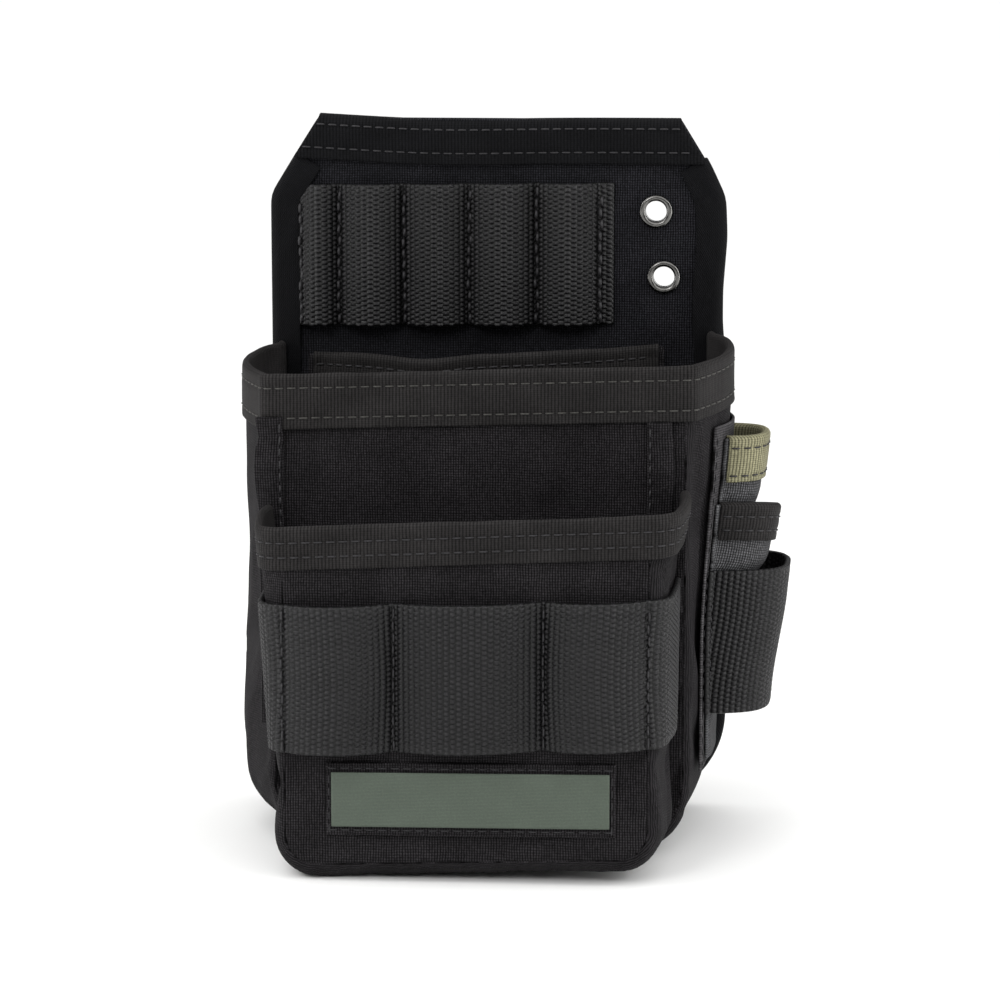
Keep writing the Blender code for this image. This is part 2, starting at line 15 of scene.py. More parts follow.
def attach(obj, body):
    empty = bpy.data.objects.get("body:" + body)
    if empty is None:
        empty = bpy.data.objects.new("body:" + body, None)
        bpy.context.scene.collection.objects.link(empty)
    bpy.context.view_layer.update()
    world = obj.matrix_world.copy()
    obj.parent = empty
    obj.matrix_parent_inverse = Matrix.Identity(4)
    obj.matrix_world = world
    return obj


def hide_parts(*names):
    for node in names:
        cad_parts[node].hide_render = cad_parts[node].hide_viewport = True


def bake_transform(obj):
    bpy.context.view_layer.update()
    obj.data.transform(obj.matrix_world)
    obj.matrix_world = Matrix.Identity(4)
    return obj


bl_info = {
    "name": "Electrician's Belt Pouch",
    "version": (1, 0, 0),
    "blender": (4, 5, 0),
    "location": "View3D > Sidebar > Pouch",
    "description": "Makes the cloth, tape, webbing and stitching of a sewn belt pouch",
    "category": "Mesh",
}

METRES = 0.001
GAP = 0.35

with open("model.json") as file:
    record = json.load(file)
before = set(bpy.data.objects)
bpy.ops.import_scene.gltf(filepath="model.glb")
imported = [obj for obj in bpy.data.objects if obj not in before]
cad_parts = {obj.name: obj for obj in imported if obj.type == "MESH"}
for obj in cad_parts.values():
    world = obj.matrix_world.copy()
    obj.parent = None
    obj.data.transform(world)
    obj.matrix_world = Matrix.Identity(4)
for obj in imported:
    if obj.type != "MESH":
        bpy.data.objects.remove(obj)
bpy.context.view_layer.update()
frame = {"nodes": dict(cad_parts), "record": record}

# The two woven cloths go by the names that the record gives the slots of these pieces.
SLOTS = {part["node"]: part["material_slot"] for part in frame["record"]["subparts"]}
BLACK_CLOTH = SLOTS["main_front_panel"]
GREY_CLOTH = SLOTS["side_tall_pocket"]

# Back panel
PANEL_TOP = 254.0
PANEL_TOP_HALF = 65.5
PANEL_HALF = 82.8
CHAMFER_FOOT = 226.0
PANEL_FLOOR = 1.6
PANEL_CORNER = 34.0
PANEL_Y = 35.0
STACK = 4.4
SIDE_BINDING_WIDTH = 9.5
TOP_BINDING_WIDTH = 15.0

# Webbing for screwdrivers: its sewn rows, and how far each loop stands out
DRIVER_SEAMS = (-72.8, -58.8, -34.9, -11.1, 13.4, 36.3, 41.4)
DRIVER_DOMES = (4.4, 6.0, 6.0, 6.0, 6.0, 0.0)
DRIVER_LOW = 180.0
DRIVER_TILT = 0.012
DRIVER_CLIP_LOW = 223.2
DRIVER_CLIP_SLOPE = 1.55

EYELETS = {"upper": (56.9, 221.2), "lower": (59.9, 197.4)}
EYELET_HOLE = 4.7

TUNNEL_HALF = 48.0
TUNNEL_LOW = 144.0
TUNNEL_HIGH = 236.0
TUNNEL_SEAM = 6.0
TUNNEL_DEPTH = 7.5

MAIN_RIM_BINDING = 18.0
RIM_TILT = 0.033

INNER_LEFT = -70.0
INNER_RIGHT = 60.0
INNER_LOW = 62.0
INNER_HIGH = 170.0
INNER_BULGE = 17.0
INNER_BINDING = 13.0

POCKET_RIM_BINDING = 13.4
TOOL_SEAMS = (-64.0, -26.0, 25.0, 60.7)
TOOL_DOMES = (6.0, 6.4, 6.0)
TOOL_MIDDLE = 73.2
TOOL_TILT = 0.03
# How far the front pocket's sides are drawn in, by height
POCKET_PULL_LEFT = ((15.5, 4.6), (33.3, 6.4), (104.5, 1.8), (122.3, 0.0))
POCKET_PULL_RIGHT = ((20.0, 4.4), (38.1, 5.4), (92.2, 4.6), (110.3, 2.6), (128.4, 0.0))
LABEL_MIDDLE = 30.0
LABEL_SIZE = (95.0, 18.8)
LABEL_BASE = (99.0, 25.0)

# Side pockets: y at the front and back edge, then height
SIDE_BACKING = (-22.0, 27.0, 28.0, 151.0)
SIDE_TALL = (-16.2, 18.5, 31.0, 146.0)
SIDE_SHORT = (-18.8, 22.5, 52.0, 120.0)
SIDE_LOOP = (-21.0, 27.0, 48.6, 99.4)
SIDE_FLANGE = 2.4
TALL_BINDING = 15.0
SHORT_BINDING = 12.0
SHORT_RIM_SLOPE = -0.17

# The camera: its aim, and where it stands
AIM = (4.6, -14.0, 123.0)
AZIMUTH = 5.1
ELEVATION = 10.0
DISTANCE = 1250.0
LENS = 127.0


def linear(hex_colour):
    """An sRGB hex colour as linear red, green and blue."""
    made = []
    for n in (1, 3, 5):
        value = int(hex_colour[n : n + 2], 16) / 255
        made.append(value / 12.92 if value <= 0.04045 else ((value + 0.055) / 1.055) ** 2.4)
    return made


def length(name, description, default):
    return bpy.props.FloatProperty(
        name=name, description=description, default=default, unit="LENGTH", precision=5
    )


def colour(name, description, default):
    return bpy.props.FloatVectorProperty(
        name=name, description=description, default=linear(default), subtype="COLOR", size=3
    )


class PouchSizes(bpy.types.PropertyGroup):
    """Stock sizes of the cloth, tape, webbing and thread."""

    cloth: length("Cloth", "Thickness of the woven nylon", 0.001)
    tape: length("Tape", "Thickness of the binding tape", 0.0009)
    webbing: length("Webbing", "Thickness of the webbing", 0.0015)
    webbing_width: length("Webbing width", "Width of stock two inch webbing", 0.0508)
    weave: length("Weave", "Spacing of the cloth's threads", 0.00092)
    rib: length("Rib", "Spacing of the tape's ribs", 0.0012)
    knuckle: length("Knuckle", "Spacing of the webbing's columns of floats", 0.0021)
    knuckle_row: length("Knuckle row", "From one float to the next in a column", 0.00175)
    stitch: length("Stitch", "From one stitch to the next", 0.0043)
    thread: length("Thread", "Thickness of the sewing thread", 0.00062)


class PouchColours(bpy.types.PropertyGroup):
    """Colours of the cloths, threads and metal."""

    black_cloth: colour("Black cloth", "Main cloth", "#121112")
    panel_cloth: colour("Panel cloth", "Cloth of the back panel", "#0e0e10")
    backing_cloth: colour("Backing cloth", "Panel that the side pockets are sewn to", "#242324")
    grey_cloth: colour("Grey cloth", "Cloth of the side pockets", "#2a2a2b")
    black_tape: colour("Black tape", "Binding of the back panel", "#070708")
    charcoal_tape: colour("Charcoal tape", "Binding of the rims", "#161515")
    khaki_tape: colour("Khaki tape", "Binding of the tall side pocket", "#4f4d3d")
    webbing: colour("Webbing", "Nylon webbing", "#0d0c0e")
    label: colour("Label", "Woven label", "#4a5349")
    black_thread: colour("Black thread", "Sewing thread", "#242325")
    grey_thread: colour("Grey thread", "Thread along the rims", "#3a3936")
    # The nickel is painted much darker than bright nickel, as painted shade for the dim surroundings
    # it reflects.
    nickel: colour("Nickel", "Plated eyelets", "#686765")
    floor: colour("Floor", "The floor it stands on", "#f4f4f3")


# --- materials ---------------------------------------------------------------------------


def node(tree, kind, settings=(), inputs=()):
    """Adds a node; an input is a value, or the output socket that feeds it."""
    made = tree.nodes.new(kind)
    for key, value in dict(settings).items():
        setattr(made, key, value)
    for key, value in dict(inputs).items():
        if isinstance(value, bpy.types.NodeSocket):
            tree.links.new(value, made.inputs[key])
        else:
            made.inputs[key].default_value = value
    return made


def finish_of(name):
    made = bpy.data.materials.get(name)
    if made is not None:
        return made, None, None
    made = bpy.data.materials.new(name)
    made.use_nodes = True
    tree = made.node_tree
    return made, tree, tree.nodes["Principled BSDF"]


def maths(tree, operation, a, b=0.0):
    return node(tree, "ShaderNodeMath", {"operation": operation}, {0: a, 1: b}).outputs[0]


def cloth_place(tree, wander):
    """Across and along the cloth in millimetres, with its threads wandering a little."""
    place = node(tree, "ShaderNodeUVMap", {"uv_map": "cloth"}).outputs["UV"]
    drift = node(
        tree, "ShaderNodeTexNoise", inputs={"Vector": place, "Scale": 0.12, "Detail": 2.0}
    )
    offset = node(
        tree,
        "ShaderNodeVectorMath",
        {"operation": "SCALE"},
        {0: drift.outputs["Color"], "Scale": wander},
    )
    return node(
        tree, "ShaderNodeVectorMath", {"operation": "ADD"}, {0: place, 1: offset.outputs[0]}
    ).outputs[0]


def ridge(tree, place, spacing):
    """A sine along one direction that crosses zero between one thread and the next."""
    turned = maths(tree, "MULTIPLY", place, math.pi / spacing)
    return maths(tree, "SINE", turned)


def shade(tree, shader, base, height, mottle, light=2.3, dark=0.45, worn_by=0.22):
    """Thread tops painted lighter as painted highlight, the hollows between them darker as painted
    shade, with a slow change from worn patches.
    """
    # top is the painted highlight on the threads' tops, low the painted shade between them
    top = [min(channel * light, 1.0) for channel in base] + [1.0]
    low = [channel * dark for channel in base] + [1.0]
    mixed = node(
        tree, "ShaderNodeMix", {"data_type": "RGBA"}, {0: height, 6: low, 7: top}
    ).outputs[2]
    worn = node(
        tree,
        "ShaderNodeMapRange",
        inputs={
            "Value": mottle,
            "From Min": 0.3,
            "From Max": 0.7,
            "To Min": 1 - worn_by,
            "To Max": 1 + worn_by,
        },
    ).outputs[0]
    final = node(
        tree,
        "ShaderNodeVectorMath",
        {"operation": "SCALE"},
        {0: mixed, "Scale": worn},
    ).outputs[0]
    tree.links.new(final, shader.inputs["Base Color"])


def bump(tree, shader, height, depth):
    raised = node(
        tree, "ShaderNodeBump", inputs={"Height": height, "Distance": depth, "Strength": 1.0}
    )
    tree.links.new(raised.outputs[0], shader.inputs["Normal"])


def woven_nylon(name, base, spacing):
    """Textured 1000 denier nylon, plain woven: a dull, pebbly black whose threads show by painted
    highlight and painted shade.
    """
    made, tree, shader = finish_of(name)
    if tree is None:
        return made
    place = cloth_place(tree, 0.9)
    parts = node(tree, "ShaderNodeSeparateXYZ", inputs={0: place})
    # Real threads are 0.72 mm apart; they are drawn a little coarser so that they still show.
    warp = maths(tree, "ABSOLUTE", ridge(tree, parts.outputs[0], spacing))
    weft = maths(tree, "ABSOLUTE", ridge(tree, parts.outputs[1], spacing))
    weft = maths(tree, "ADD", maths(tree, "MULTIPLY", weft, 0.7), 0.3)
    height = maths(tree, "MULTIPLY", warp, weft)
    slubs = node(tree, "ShaderNodeTexNoise", inputs={"Vector": place, "Scale": 1.1, "Detail": 3.0})
    uneven = maths(tree, "MULTIPLY", height, slubs.outputs[0])
    uneven = maths(tree, "MULTIPLY", uneven, 1.6)
    mottle = node(
        tree, "ShaderNodeTexNoise", inputs={"Vector": place, "Scale": 0.05, "Detail": 4.0}
    )
    # The threads' tops are painted up to 6.5 times lighter and the hollows nearly black: painted
    # highlight and painted shade.
    shade(tree, shader, base, uneven, mottle.outputs[0], light=6.5, dark=0.02)
    bump(tree, shader, uneven, 0.00022)
    shader.inputs["Roughness"].default_value = 0.72
    shader.inputs["IOR"].default_value = 1.53
    shader.inputs["Specular IOR Level"].default_value = 0.04
    shader.inputs["Sheen Weight"].default_value = 0.008
    shader.inputs["Sheen Roughness"].default_value = 0.45
    return made


def grosgrain(name, base, spacing):
    """Ribbed nylon binding tape: fine cross ribs that catch the light in lines, each rib painted
    lighter as painted highlight and darker between as painted shade.
    """
    made, tree, shader = finish_of(name)
    if tree is None:
        return made
    place = cloth_place(tree, 0.35)
    parts = node(tree, "ShaderNodeSeparateXYZ", inputs={0: place})
    ribs = maths(tree, "ABSOLUTE", ridge(tree, parts.outputs[0], spacing))
    ends = maths(tree, "ABSOLUTE", ridge(tree, parts.outputs[1], spacing * 0.62))
    ends = maths(tree, "MULTIPLY", ends, 0.3)
    height = maths(tree, "ADD", maths(tree, "MULTIPLY", ribs, 0.7), ends)
    slubs = node(tree, "ShaderNodeTexNoise", inputs={"Vector": place, "Scale": 0.9, "Detail": 3.0})
    uneven = maths(tree, "MULTIPLY", height, maths(tree, "ADD", slubs.outputs[0], 0.5))
    mottle = node(
        tree, "ShaderNodeTexNoise", inputs={"Vector": place, "Scale": 0.06, "Detail": 3.0}
    )
    # Each rib is painted lighter on top and darker between: painted highlight and painted shade.
    shade(tree, shader, base, uneven, mottle.outputs[0], light=3.4, dark=0.12)
    bump(tree, shader, uneven, 0.00018)
    shader.inputs["Roughness"].default_value = 0.62
    shader.inputs["IOR"].default_value = 1.53
    shader.inputs["Specular IOR Level"].default_value = 0.04
    shader.inputs["Sheen Weight"].default_value = 0.012
    shader.inputs["Sheen Roughness"].default_value = 0.4
    return made


def nylon_webbing(name, base, sizes):
    """Heavy woven nylon webbing: rows of shiny floats painted lighter as painted highlight, with
    painted shade darkening the hollows between them.
    """
    made, tree, shader = finish_of(name)
    if tree is None:
        return made
    place = cloth_place(tree, 0.0)
    parts = node(tree, "ShaderNodeSeparateXYZ", inputs={0: place})
    along = maths(tree, "DIVIDE", parts.outputs[0], sizes.knuckle / METRES)
    column = maths(tree, "FLOOR", along)
    across = maths(tree, "SINE", maths(tree, "MULTIPLY", maths(tree, "FRACT", along), math.pi))
    odd = maths(tree, "MULTIPLY", maths(tree, "FLOORED_MODULO", column, 2.0), 0.5)
    up = maths(tree, "DIVIDE", parts.outputs[1], sizes.knuckle_row / METRES)
    phase = maths(tree, "FRACT", maths(tree, "ADD", up, odd))
    dome = maths(tree, "SINE", maths(tree, "MULTIPLY", phase, math.pi))
    dome = maths(tree, "MULTIPLY", dome, across)
    drawn_out = node(
        tree,
        "ShaderNodeVectorMath",
        {"operation": "MULTIPLY"},
        {0: place, 1: (0.6, 3.0, 1.0)},
    ).outputs[0]
    filaments = node(
        tree, "ShaderNodeTexNoise", inputs={"Vector": drawn_out, "Scale": 1.4, "Detail": 4.0}
    )
    uneven = maths(tree, "MULTIPLY", dome, maths(tree, "ADD", filaments.outputs[0], 0.45))
    mottle = node(
        tree, "ShaderNodeTexNoise", inputs={"Vector": place, "Scale": 0.07, "Detail": 3.0}
    )
    # Floats painted lighter and hollows painted nearly black: painted highlight and painted shade.
    shade(tree, shader, base, uneven, mottle.outputs[0], light=2.2, dark=0.04)
    bump(tree, shader, uneven, 0.0004)
    shader.inputs["Roughness"].default_value = 0.46
    shader.inputs["IOR"].default_value = 1.53
    shader.inputs["Specular IOR Level"].default_value = 0.3
    shader.inputs["Sheen Weight"].default_value = 0.008
    shader.inputs["Sheen Roughness"].default_value = 0.35
    return made


def label_cloth(name, base):
    """Fine damask label cloth, flat and slightly silky, with close lines across it painted lighter
    and darker as painted highlight and painted shade.
    """
    made, tree, shader = finish_of(name)
    if tree is None:
        return made
    place = cloth_place(tree, 0.1)
    parts = node(tree, "ShaderNodeSeparateXYZ", inputs={0: place})
    # Picks are really about 0.25 mm apart; 0.5 mm is the finest that still shows.
    picks = maths(tree, "ABSOLUTE", ridge(tree, parts.outputs[1], 0.5))
    fibres = node(tree, "ShaderNodeTexNoise", inputs={"Vector": place, "Scale": 1.5, "Detail": 3.0})
    height = maths(tree, "MULTIPLY", picks, fibres.outputs[0])
    mottle = node(
        tree, "ShaderNodeTexNoise", inputs={"Vector": place, "Scale": 0.09, "Detail": 2.0}
    )
    # Each pick is painted lighter on top and darker between: painted highlight and painted shade.
    shade(tree, shader, base, height, mottle.outputs[0], 1.5, 0.75, worn_by=0.05)
    bump(tree, shader, height, 0.00008)
    shader.inputs["Roughness"].default_value = 0.6
    shader.inputs["IOR"].default_value = 1.53
    shader.inputs["Specular IOR Level"].default_value = 0.3
    return made


def sewing_thread(name, base):
    """Bonded nylon thread, twisted: small painted highlights and painted shade along each stitch."""
    made, tree, shader = finish_of(name)
    if tree is None:
        return made
    place = node(tree, "ShaderNodeTexCoord").outputs["Object"]
    # One turn of the twist is about 0.9 mm long.
    plies = node(
        tree,
        "ShaderNodeTexNoise",
        inputs={"Vector": place, "Scale": 1100.0, "Detail": 2.0},
    )
    # Noise standing for the plies paints small highlights and shade along the thread.
    shade(tree, shader, base, plies.outputs[0], plies.outputs[0], light=1.6, dark=0.5)
    bump(tree, shader, plies.outputs[0], 0.00012)
    shader.inputs["Roughness"].default_value = 0.5
    shader.inputs["IOR"].default_value = 1.53
    shader.inputs["Specular IOR Level"].default_value = 0.3
    return made


def nickel_plate(name, base):
    """Nickel plated brass, tumbled bright: a clean reflection with faint handling marks, on a colour
    painted darker as painted shade for the dim surroundings it reflects.
    """
    made, tree, shader = finish_of(name)
    if tree is None:
        return made
    place = node(tree, "ShaderNodeTexCoord").outputs["Object"]
    marks = node(
        tree, "ShaderNodeTexNoise", inputs={"Vector": place, "Scale": 420.0, "Detail": 5.0}
    )
    rough = node(
        tree,
        "ShaderNodeMapRange",
        inputs={"Value": marks.outputs[0], "To Min": 0.16, "To Max": 0.3},
    )
    tree.links.new(rough.outputs[0], shader.inputs["Roughness"])
    shade(tree, shader, base, marks.outputs[0], marks.outputs[0], light=1.05, dark=0.85)
    bump(tree, shader, marks.outputs[0], 0.000004)
    shader.inputs["Metallic"].default_value = 1.0
    return made


def polyethylene_board(name):
    """Extruded polyethylene board, a waxy black that lies inside the back panel."""
    made, tree, shader = finish_of(name)
    if tree is None:
        return made
    place = node(tree, "ShaderNodeTexCoord").outputs["Object"]
    grain = node(
        tree, "ShaderNodeTexNoise", inputs={"Vector": place, "Scale": 300.0, "Detail": 3.0}
    )
    shade(tree, shader, linear("#262626"), grain.outputs[0], grain.outputs[0], 1.2, 0.8)
    bump(tree, shader, grain.outputs[0], 0.00003)
    shader.inputs["Roughness"].default_value = 0.5
    shader.inputs["IOR"].default_value = 1.51
    return made


def painted_floor(name, base):
    """A matt painted floor with a faint roller texture."""
    made, tree, shader = finish_of(name)
    if tree is None:
        return made
    place = node(tree, "ShaderNodeTexCoord").outputs["Object"]
    roller = node(
        tree, "ShaderNodeTexNoise", inputs={"Vector": place, "Scale": 60.0, "Detail": 3.0}
    )
    shader.inputs["Base Color"].default_value = [*base, 1.0]
    bump(tree, shader, roller.outputs[0], 0.00005)
    shader.inputs["Roughness"].default_value = 0.8
    return made


def cloths(context):
    """Every finish the pouch uses. Most go by the name of their slot in the record."""
    c, s = context.scene.pouch_colours, context.scene.pouch_sizes
    weave, rib = s.weave / METRES, s.rib / METRES
    return {
        BLACK_CLOTH: woven_nylon("textured_nylon_plain_woven_black", c.black_cloth, weave),
        "panel_cloth": woven_nylon("textured_nylon_plain_woven_deep_black", c.panel_cloth, weave),
        "backing_cloth": woven_nylon(
            "textured_nylon_plain_woven_charcoal", c.backing_cloth, weave
        ),
        GREY_CLOTH: woven_nylon("textured_nylon_plain_woven_grey", c.grey_cloth, weave),
        "black_grosgrain": grosgrain("nylon_tape_ribbed_black", c.black_tape, rib),
        "charcoal_grosgrain": grosgrain("nylon_tape_ribbed_charcoal", c.charcoal_tape, rib),
        "khaki_grosgrain": grosgrain("nylon_tape_ribbed_khaki", c.khaki_tape, rib),
        "black_webbing": nylon_webbing("nylon_webbing_heavy_woven_black", c.webbing, s),
        "woven_label": label_cloth("polyester_label_damask_woven", c.label),
        "black_thread": sewing_thread("bonded_nylon_thread_black", c.black_thread),
        "grey_thread": sewing_thread("bonded_nylon_thread_grey", c.grey_thread),
        "nickel_plate": nickel_plate("nickel_plated_brass_bright", c.nickel),
        "polyethylene_board": polyethylene_board("polyethylene_board_extruded"),
    }


# --- meshes ------------------------------------------------------------------------------


def unit(vectors):
    size = np.linalg.norm(vectors, axis=-1, keepdims=True)
    return vectors / np.maximum(size, 1e-9)


def normals_of(grid):
    """Unit normals of a grid of points, out of the side where it reads left to right."""
    return unit(np.cross(np.gradient(grid, axis=1), np.gradient(grid, axis=0)))


def cloth_lengths(grid):
    """Distance along the columns and up the rows, in millimetres, from the middle column."""
    steps = np.linalg.norm(np.diff(grid, axis=1), axis=2)
    along = np.concatenate([np.zeros((len(grid), 1)), np.cumsum(steps, axis=1)], axis=1)
    along -= along[:, [grid.shape[1] // 2]]
    steps = np.linalg.norm(np.diff(grid, axis=0), axis=2)
    up = np.concatenate([np.zeros((1, grid.shape[1])), np.cumsum(steps, axis=0)])
    return along, up


def even(grid, step_along, step_up):
    """The same surface with evenly spaced rows and columns."""
    grid = np.asarray(grid, float)
    for axis, step in ((1, step_along), (0, step_up)):
        gaps = np.linalg.norm(np.diff(grid, axis=axis), axis=2).mean(axis=1 - axis)
        place = np.concatenate([[0.0], np.cumsum(gaps)])
        count = max(int(round(place[-1] / step)), 3)
        wanted = np.interp(np.linspace(0, place[-1], count + 1), place, np.arange(len(place)))
        low = np.minimum(wanted.astype(int), len(place) - 2)
        share = wanted - low
        a = np.take(grid, low, axis=axis)
        b = np.take(grid, low + 1, axis=axis)
        share = share[None, :, None] if axis == 1 else share[:, None, None]
        grid = a + (b - a) * share
    return grid


def make_object(name, points, faces, finish, lengths=None):
    mesh = bpy.data.meshes.new(name)
    mesh.from_pydata((np.asarray(points) * METRES).tolist(), [], faces)
    mesh.materials.append(finish)
    mesh.polygons.foreach_set("use_smooth", [True] * len(mesh.polygons))
    if lengths is not None:
        corners = np.zeros(len(mesh.loops), np.int32)
        mesh.loops.foreach_get("vertex_index", corners)
        layer = mesh.uv_layers.new(name="cloth")
        layer.uv.foreach_set("vector", np.asarray(lengths, np.float32)[corners].ravel())
    made = bpy.data.objects.new(name, mesh)
    bpy.context.scene.collection.objects.link(made)
    return made


def shell(name, grid, thickness, finish, relief=None, edge=0.35, flat=False):
    """Cloth on a grid of points: a closed piece with rounded edges.

    `relief` gives the extra height of the outer face from the distance along and up it, and a
    `flat` panel keeps its threads level and upright.
    Returns the object, and its outer face's points and normals.
    """
    grid = np.asarray(grid, float)
    rows, columns = grid.shape[:2]
    normals = normals_of(grid)
    along, up = (grid[..., 0], grid[..., 2]) if flat else cloth_lengths(grid)
    lift = np.full((rows, columns), thickness / 2)
    if relief is not None:
        lift = lift + relief(along, up)
    outer = grid + normals * lift[..., None]
    inner = grid - normals * thickness / 2
    loop = [(0, j) for j in range(columns)]
    loop += [(i, columns - 1) for i in range(1, rows)]
    loop += [(rows - 1, j) for j in range(columns - 2, -1, -1)]
    loop += [(i, 0) for i in range(rows - 2, 0, -1)]
    at = tuple(np.array(loop).T)
    inside = (np.clip(at[0], 1, rows - 2), np.clip(at[1], 1, columns - 2))
    ring = grid[at] + unit(grid[at] - grid[inside]) * thickness * edge
    index = np.arange(rows * columns).reshape(rows, columns)
    quads = np.stack([index[:-1, :-1], index[:-1, 1:], index[1:, 1:], index[1:, :-1]], axis=2)
    quads = quads.reshape(-1, 4)
    under = quads[:, ::-1] + rows * columns
    rim = index[at]
    ringed = np.arange(len(loop)) + 2 * rows * columns
    rim2, ringed2 = np.roll(rim, -1), np.roll(ringed, -1)
    side = np.stack([rim, ringed, ringed2, rim2], axis=1)
    below = np.stack([ringed, rim + rows * columns, rim2 + rows * columns, ringed2], axis=1)
    faces = np.concatenate([quads, under, side, below]).tolist()
    points = np.concatenate([outer.reshape(-1, 3), inner.reshape(-1, 3), ring])
    spread = np.stack([along, up], axis=2)
    lengths = np.concatenate([spread.reshape(-1, 2), spread.reshape(-1, 2), spread[at]])
    return make_object(name, points, faces, finish, lengths), (outer, normals)


def line_up(face, distance):
    """Points and normals along a face, `distance` up from its first row, or down from its last."""
    outer, normals = face
    gaps = np.linalg.norm(np.diff(outer, axis=0), axis=2).mean(axis=1)
    place = np.concatenate([[0.0], np.cumsum(gaps)])
    if distance < 0:
        distance += place[-1]
    at = np.interp(distance, place, np.arange(len(place)))
    low = min(int(at), len(place) - 2)
    return tuple(part[low] + (part[low + 1] - part[low]) * (at - low) for part in face)


def line_across(face, distance):
    """The same up a face, `distance` along from its first column, or back from its last."""
    return line_up(tuple(part.transpose(1, 0, 2) for part in face), distance)


def smoothed(values, times=1):
    for _ in range(times):
        values = values.copy()
        values[1:-1] = (values[:-2] + 2 * values[1:-1] + values[2:]) / 4
    return values


def stitches(name, lines, finish, sizes, bold=1.0, reach=0.74, sway=0.0):
    """Raised stitches along lines on a surface, each dipping into the cloth at its ends."""
    pitch = sizes.stitch / METRES
    radius = sizes.thread / METRES / 2 * bold
    turns = np.linspace(0, math.tau, 6, endpoint=False)
    shares = np.array([0.0, 0.16, 0.5, 0.84, 1.0])
    heights = np.array([-0.7, 0.45, 0.95, 0.45, -0.7]) * radius
    widths = np.array([0.55, 0.95, 1.0, 0.95, 0.55]) * radius
    points, faces = [], []
    for number, (spots, normals) in enumerate(lines):
        gaps = np.linalg.norm(np.diff(spots, axis=0), axis=1)
        place = np.concatenate([[0.0], np.cumsum(gaps)])
        count = int(place[-1] / pitch)
        for n in range(count):
            aside = sway * noise.noise(Vector((n * 1.7, number * 3.1, 0.5)))
            start = (n + 0.5 - reach / 2) * pitch
            at = start + shares * pitch * reach
            centre = np.stack([np.interp(at, place, spots[:, k]) for k in range(3)], axis=1)
            out = unit(np.stack([np.interp(at, place, normals[:, k]) for k in range(3)], axis=1))
            ahead = unit(centre[-1] - centre[0])
            side = unit(np.cross(out, ahead))
            centre = centre + out * heights[:, None] + side * aside
            base = len(points)
            for k in range(5):
                for turn in turns:
                    arm = side[k] * math.cos(turn) + out[k] * math.sin(turn)
                    points.append(centre[k] + arm * widths[k])
            for k in range(4):
                for m in range(6):
                    a, b = base + k * 6 + m, base + k * 6 + (m + 1) % 6
                    faces.append((a, a + 6, b + 6, b))
            faces.append(tuple(base + m for m in range(6)))
            faces.append(tuple(base + 24 + m for m in range(5, -1, -1)))
    return make_object(name, points, faces, finish)


def grooves(distances, depth=0.28, width=0.8):
    """Relief that presses the cloth down along rows of stitching."""

    def relief(along, up):
        total = np.zeros_like(up)
        for distance in distances:
            total -= depth * np.exp(-(((up - distance) / width) ** 2))
        return total

    return relief


def knuckles(sizes, width):
    """Relief of heavy webbing: staggered columns of floats, ribbed along each edge."""
    column_width = sizes.knuckle / METRES
    float_height = sizes.knuckle_row / METRES

    def relief(along, up):
        column = np.floor(along / column_width)
        across = along / column_width - column
        phase = up / float_height + 0.5 * (column % 2)
        phase = phase - np.floor(phase)
        dome = np.clip(1 - (2 * phase - 1) ** 2, 0, 1) ** 0.6
        dome = dome * np.clip(1 - (2 * across - 1) ** 2, 0, 1) ** 0.6
        edge = np.minimum(up, width - up)
        rib = np.clip(1 - (2 * across - 1) ** 2, 0, 1)
        share = np.clip((2.2 - edge) / 0.5, 0, 1)
        return 0.5 * (dome * (1 - share) + 0.7 * rib * share)

    return relief


def rumple(grid, amount, size, seed, hold=8.0):
    """Presses cloth inwards by slow noise, held still within `hold` of its edges."""
    along, up = cloth_lengths(grid)
    edge = np.minimum(
        along - along.min(axis=1, keepdims=True), along.max(axis=1, keepdims=True) - along
    )
    edge = np.minimum(edge, np.minimum(up, up.max(axis=0, keepdims=True) - up))
    fade = np.clip(edge / hold, 0, 1)
    fade = fade * fade * (3 - 2 * fade)
    moves = np.zeros(grid.shape[:2])
    for i in range(grid.shape[0]):
        for j in range(grid.shape[1]):
            spot = Vector(grid[i, j] / size) + Vector((seed, seed * 0.7, -seed))
            moves[i, j] = min(noise.noise(spot) + 0.5 * noise.noise(spot * 2.1) - 0.25, 0.0)
    return grid + normals_of(grid) * (moves * fade * amount)[..., None]


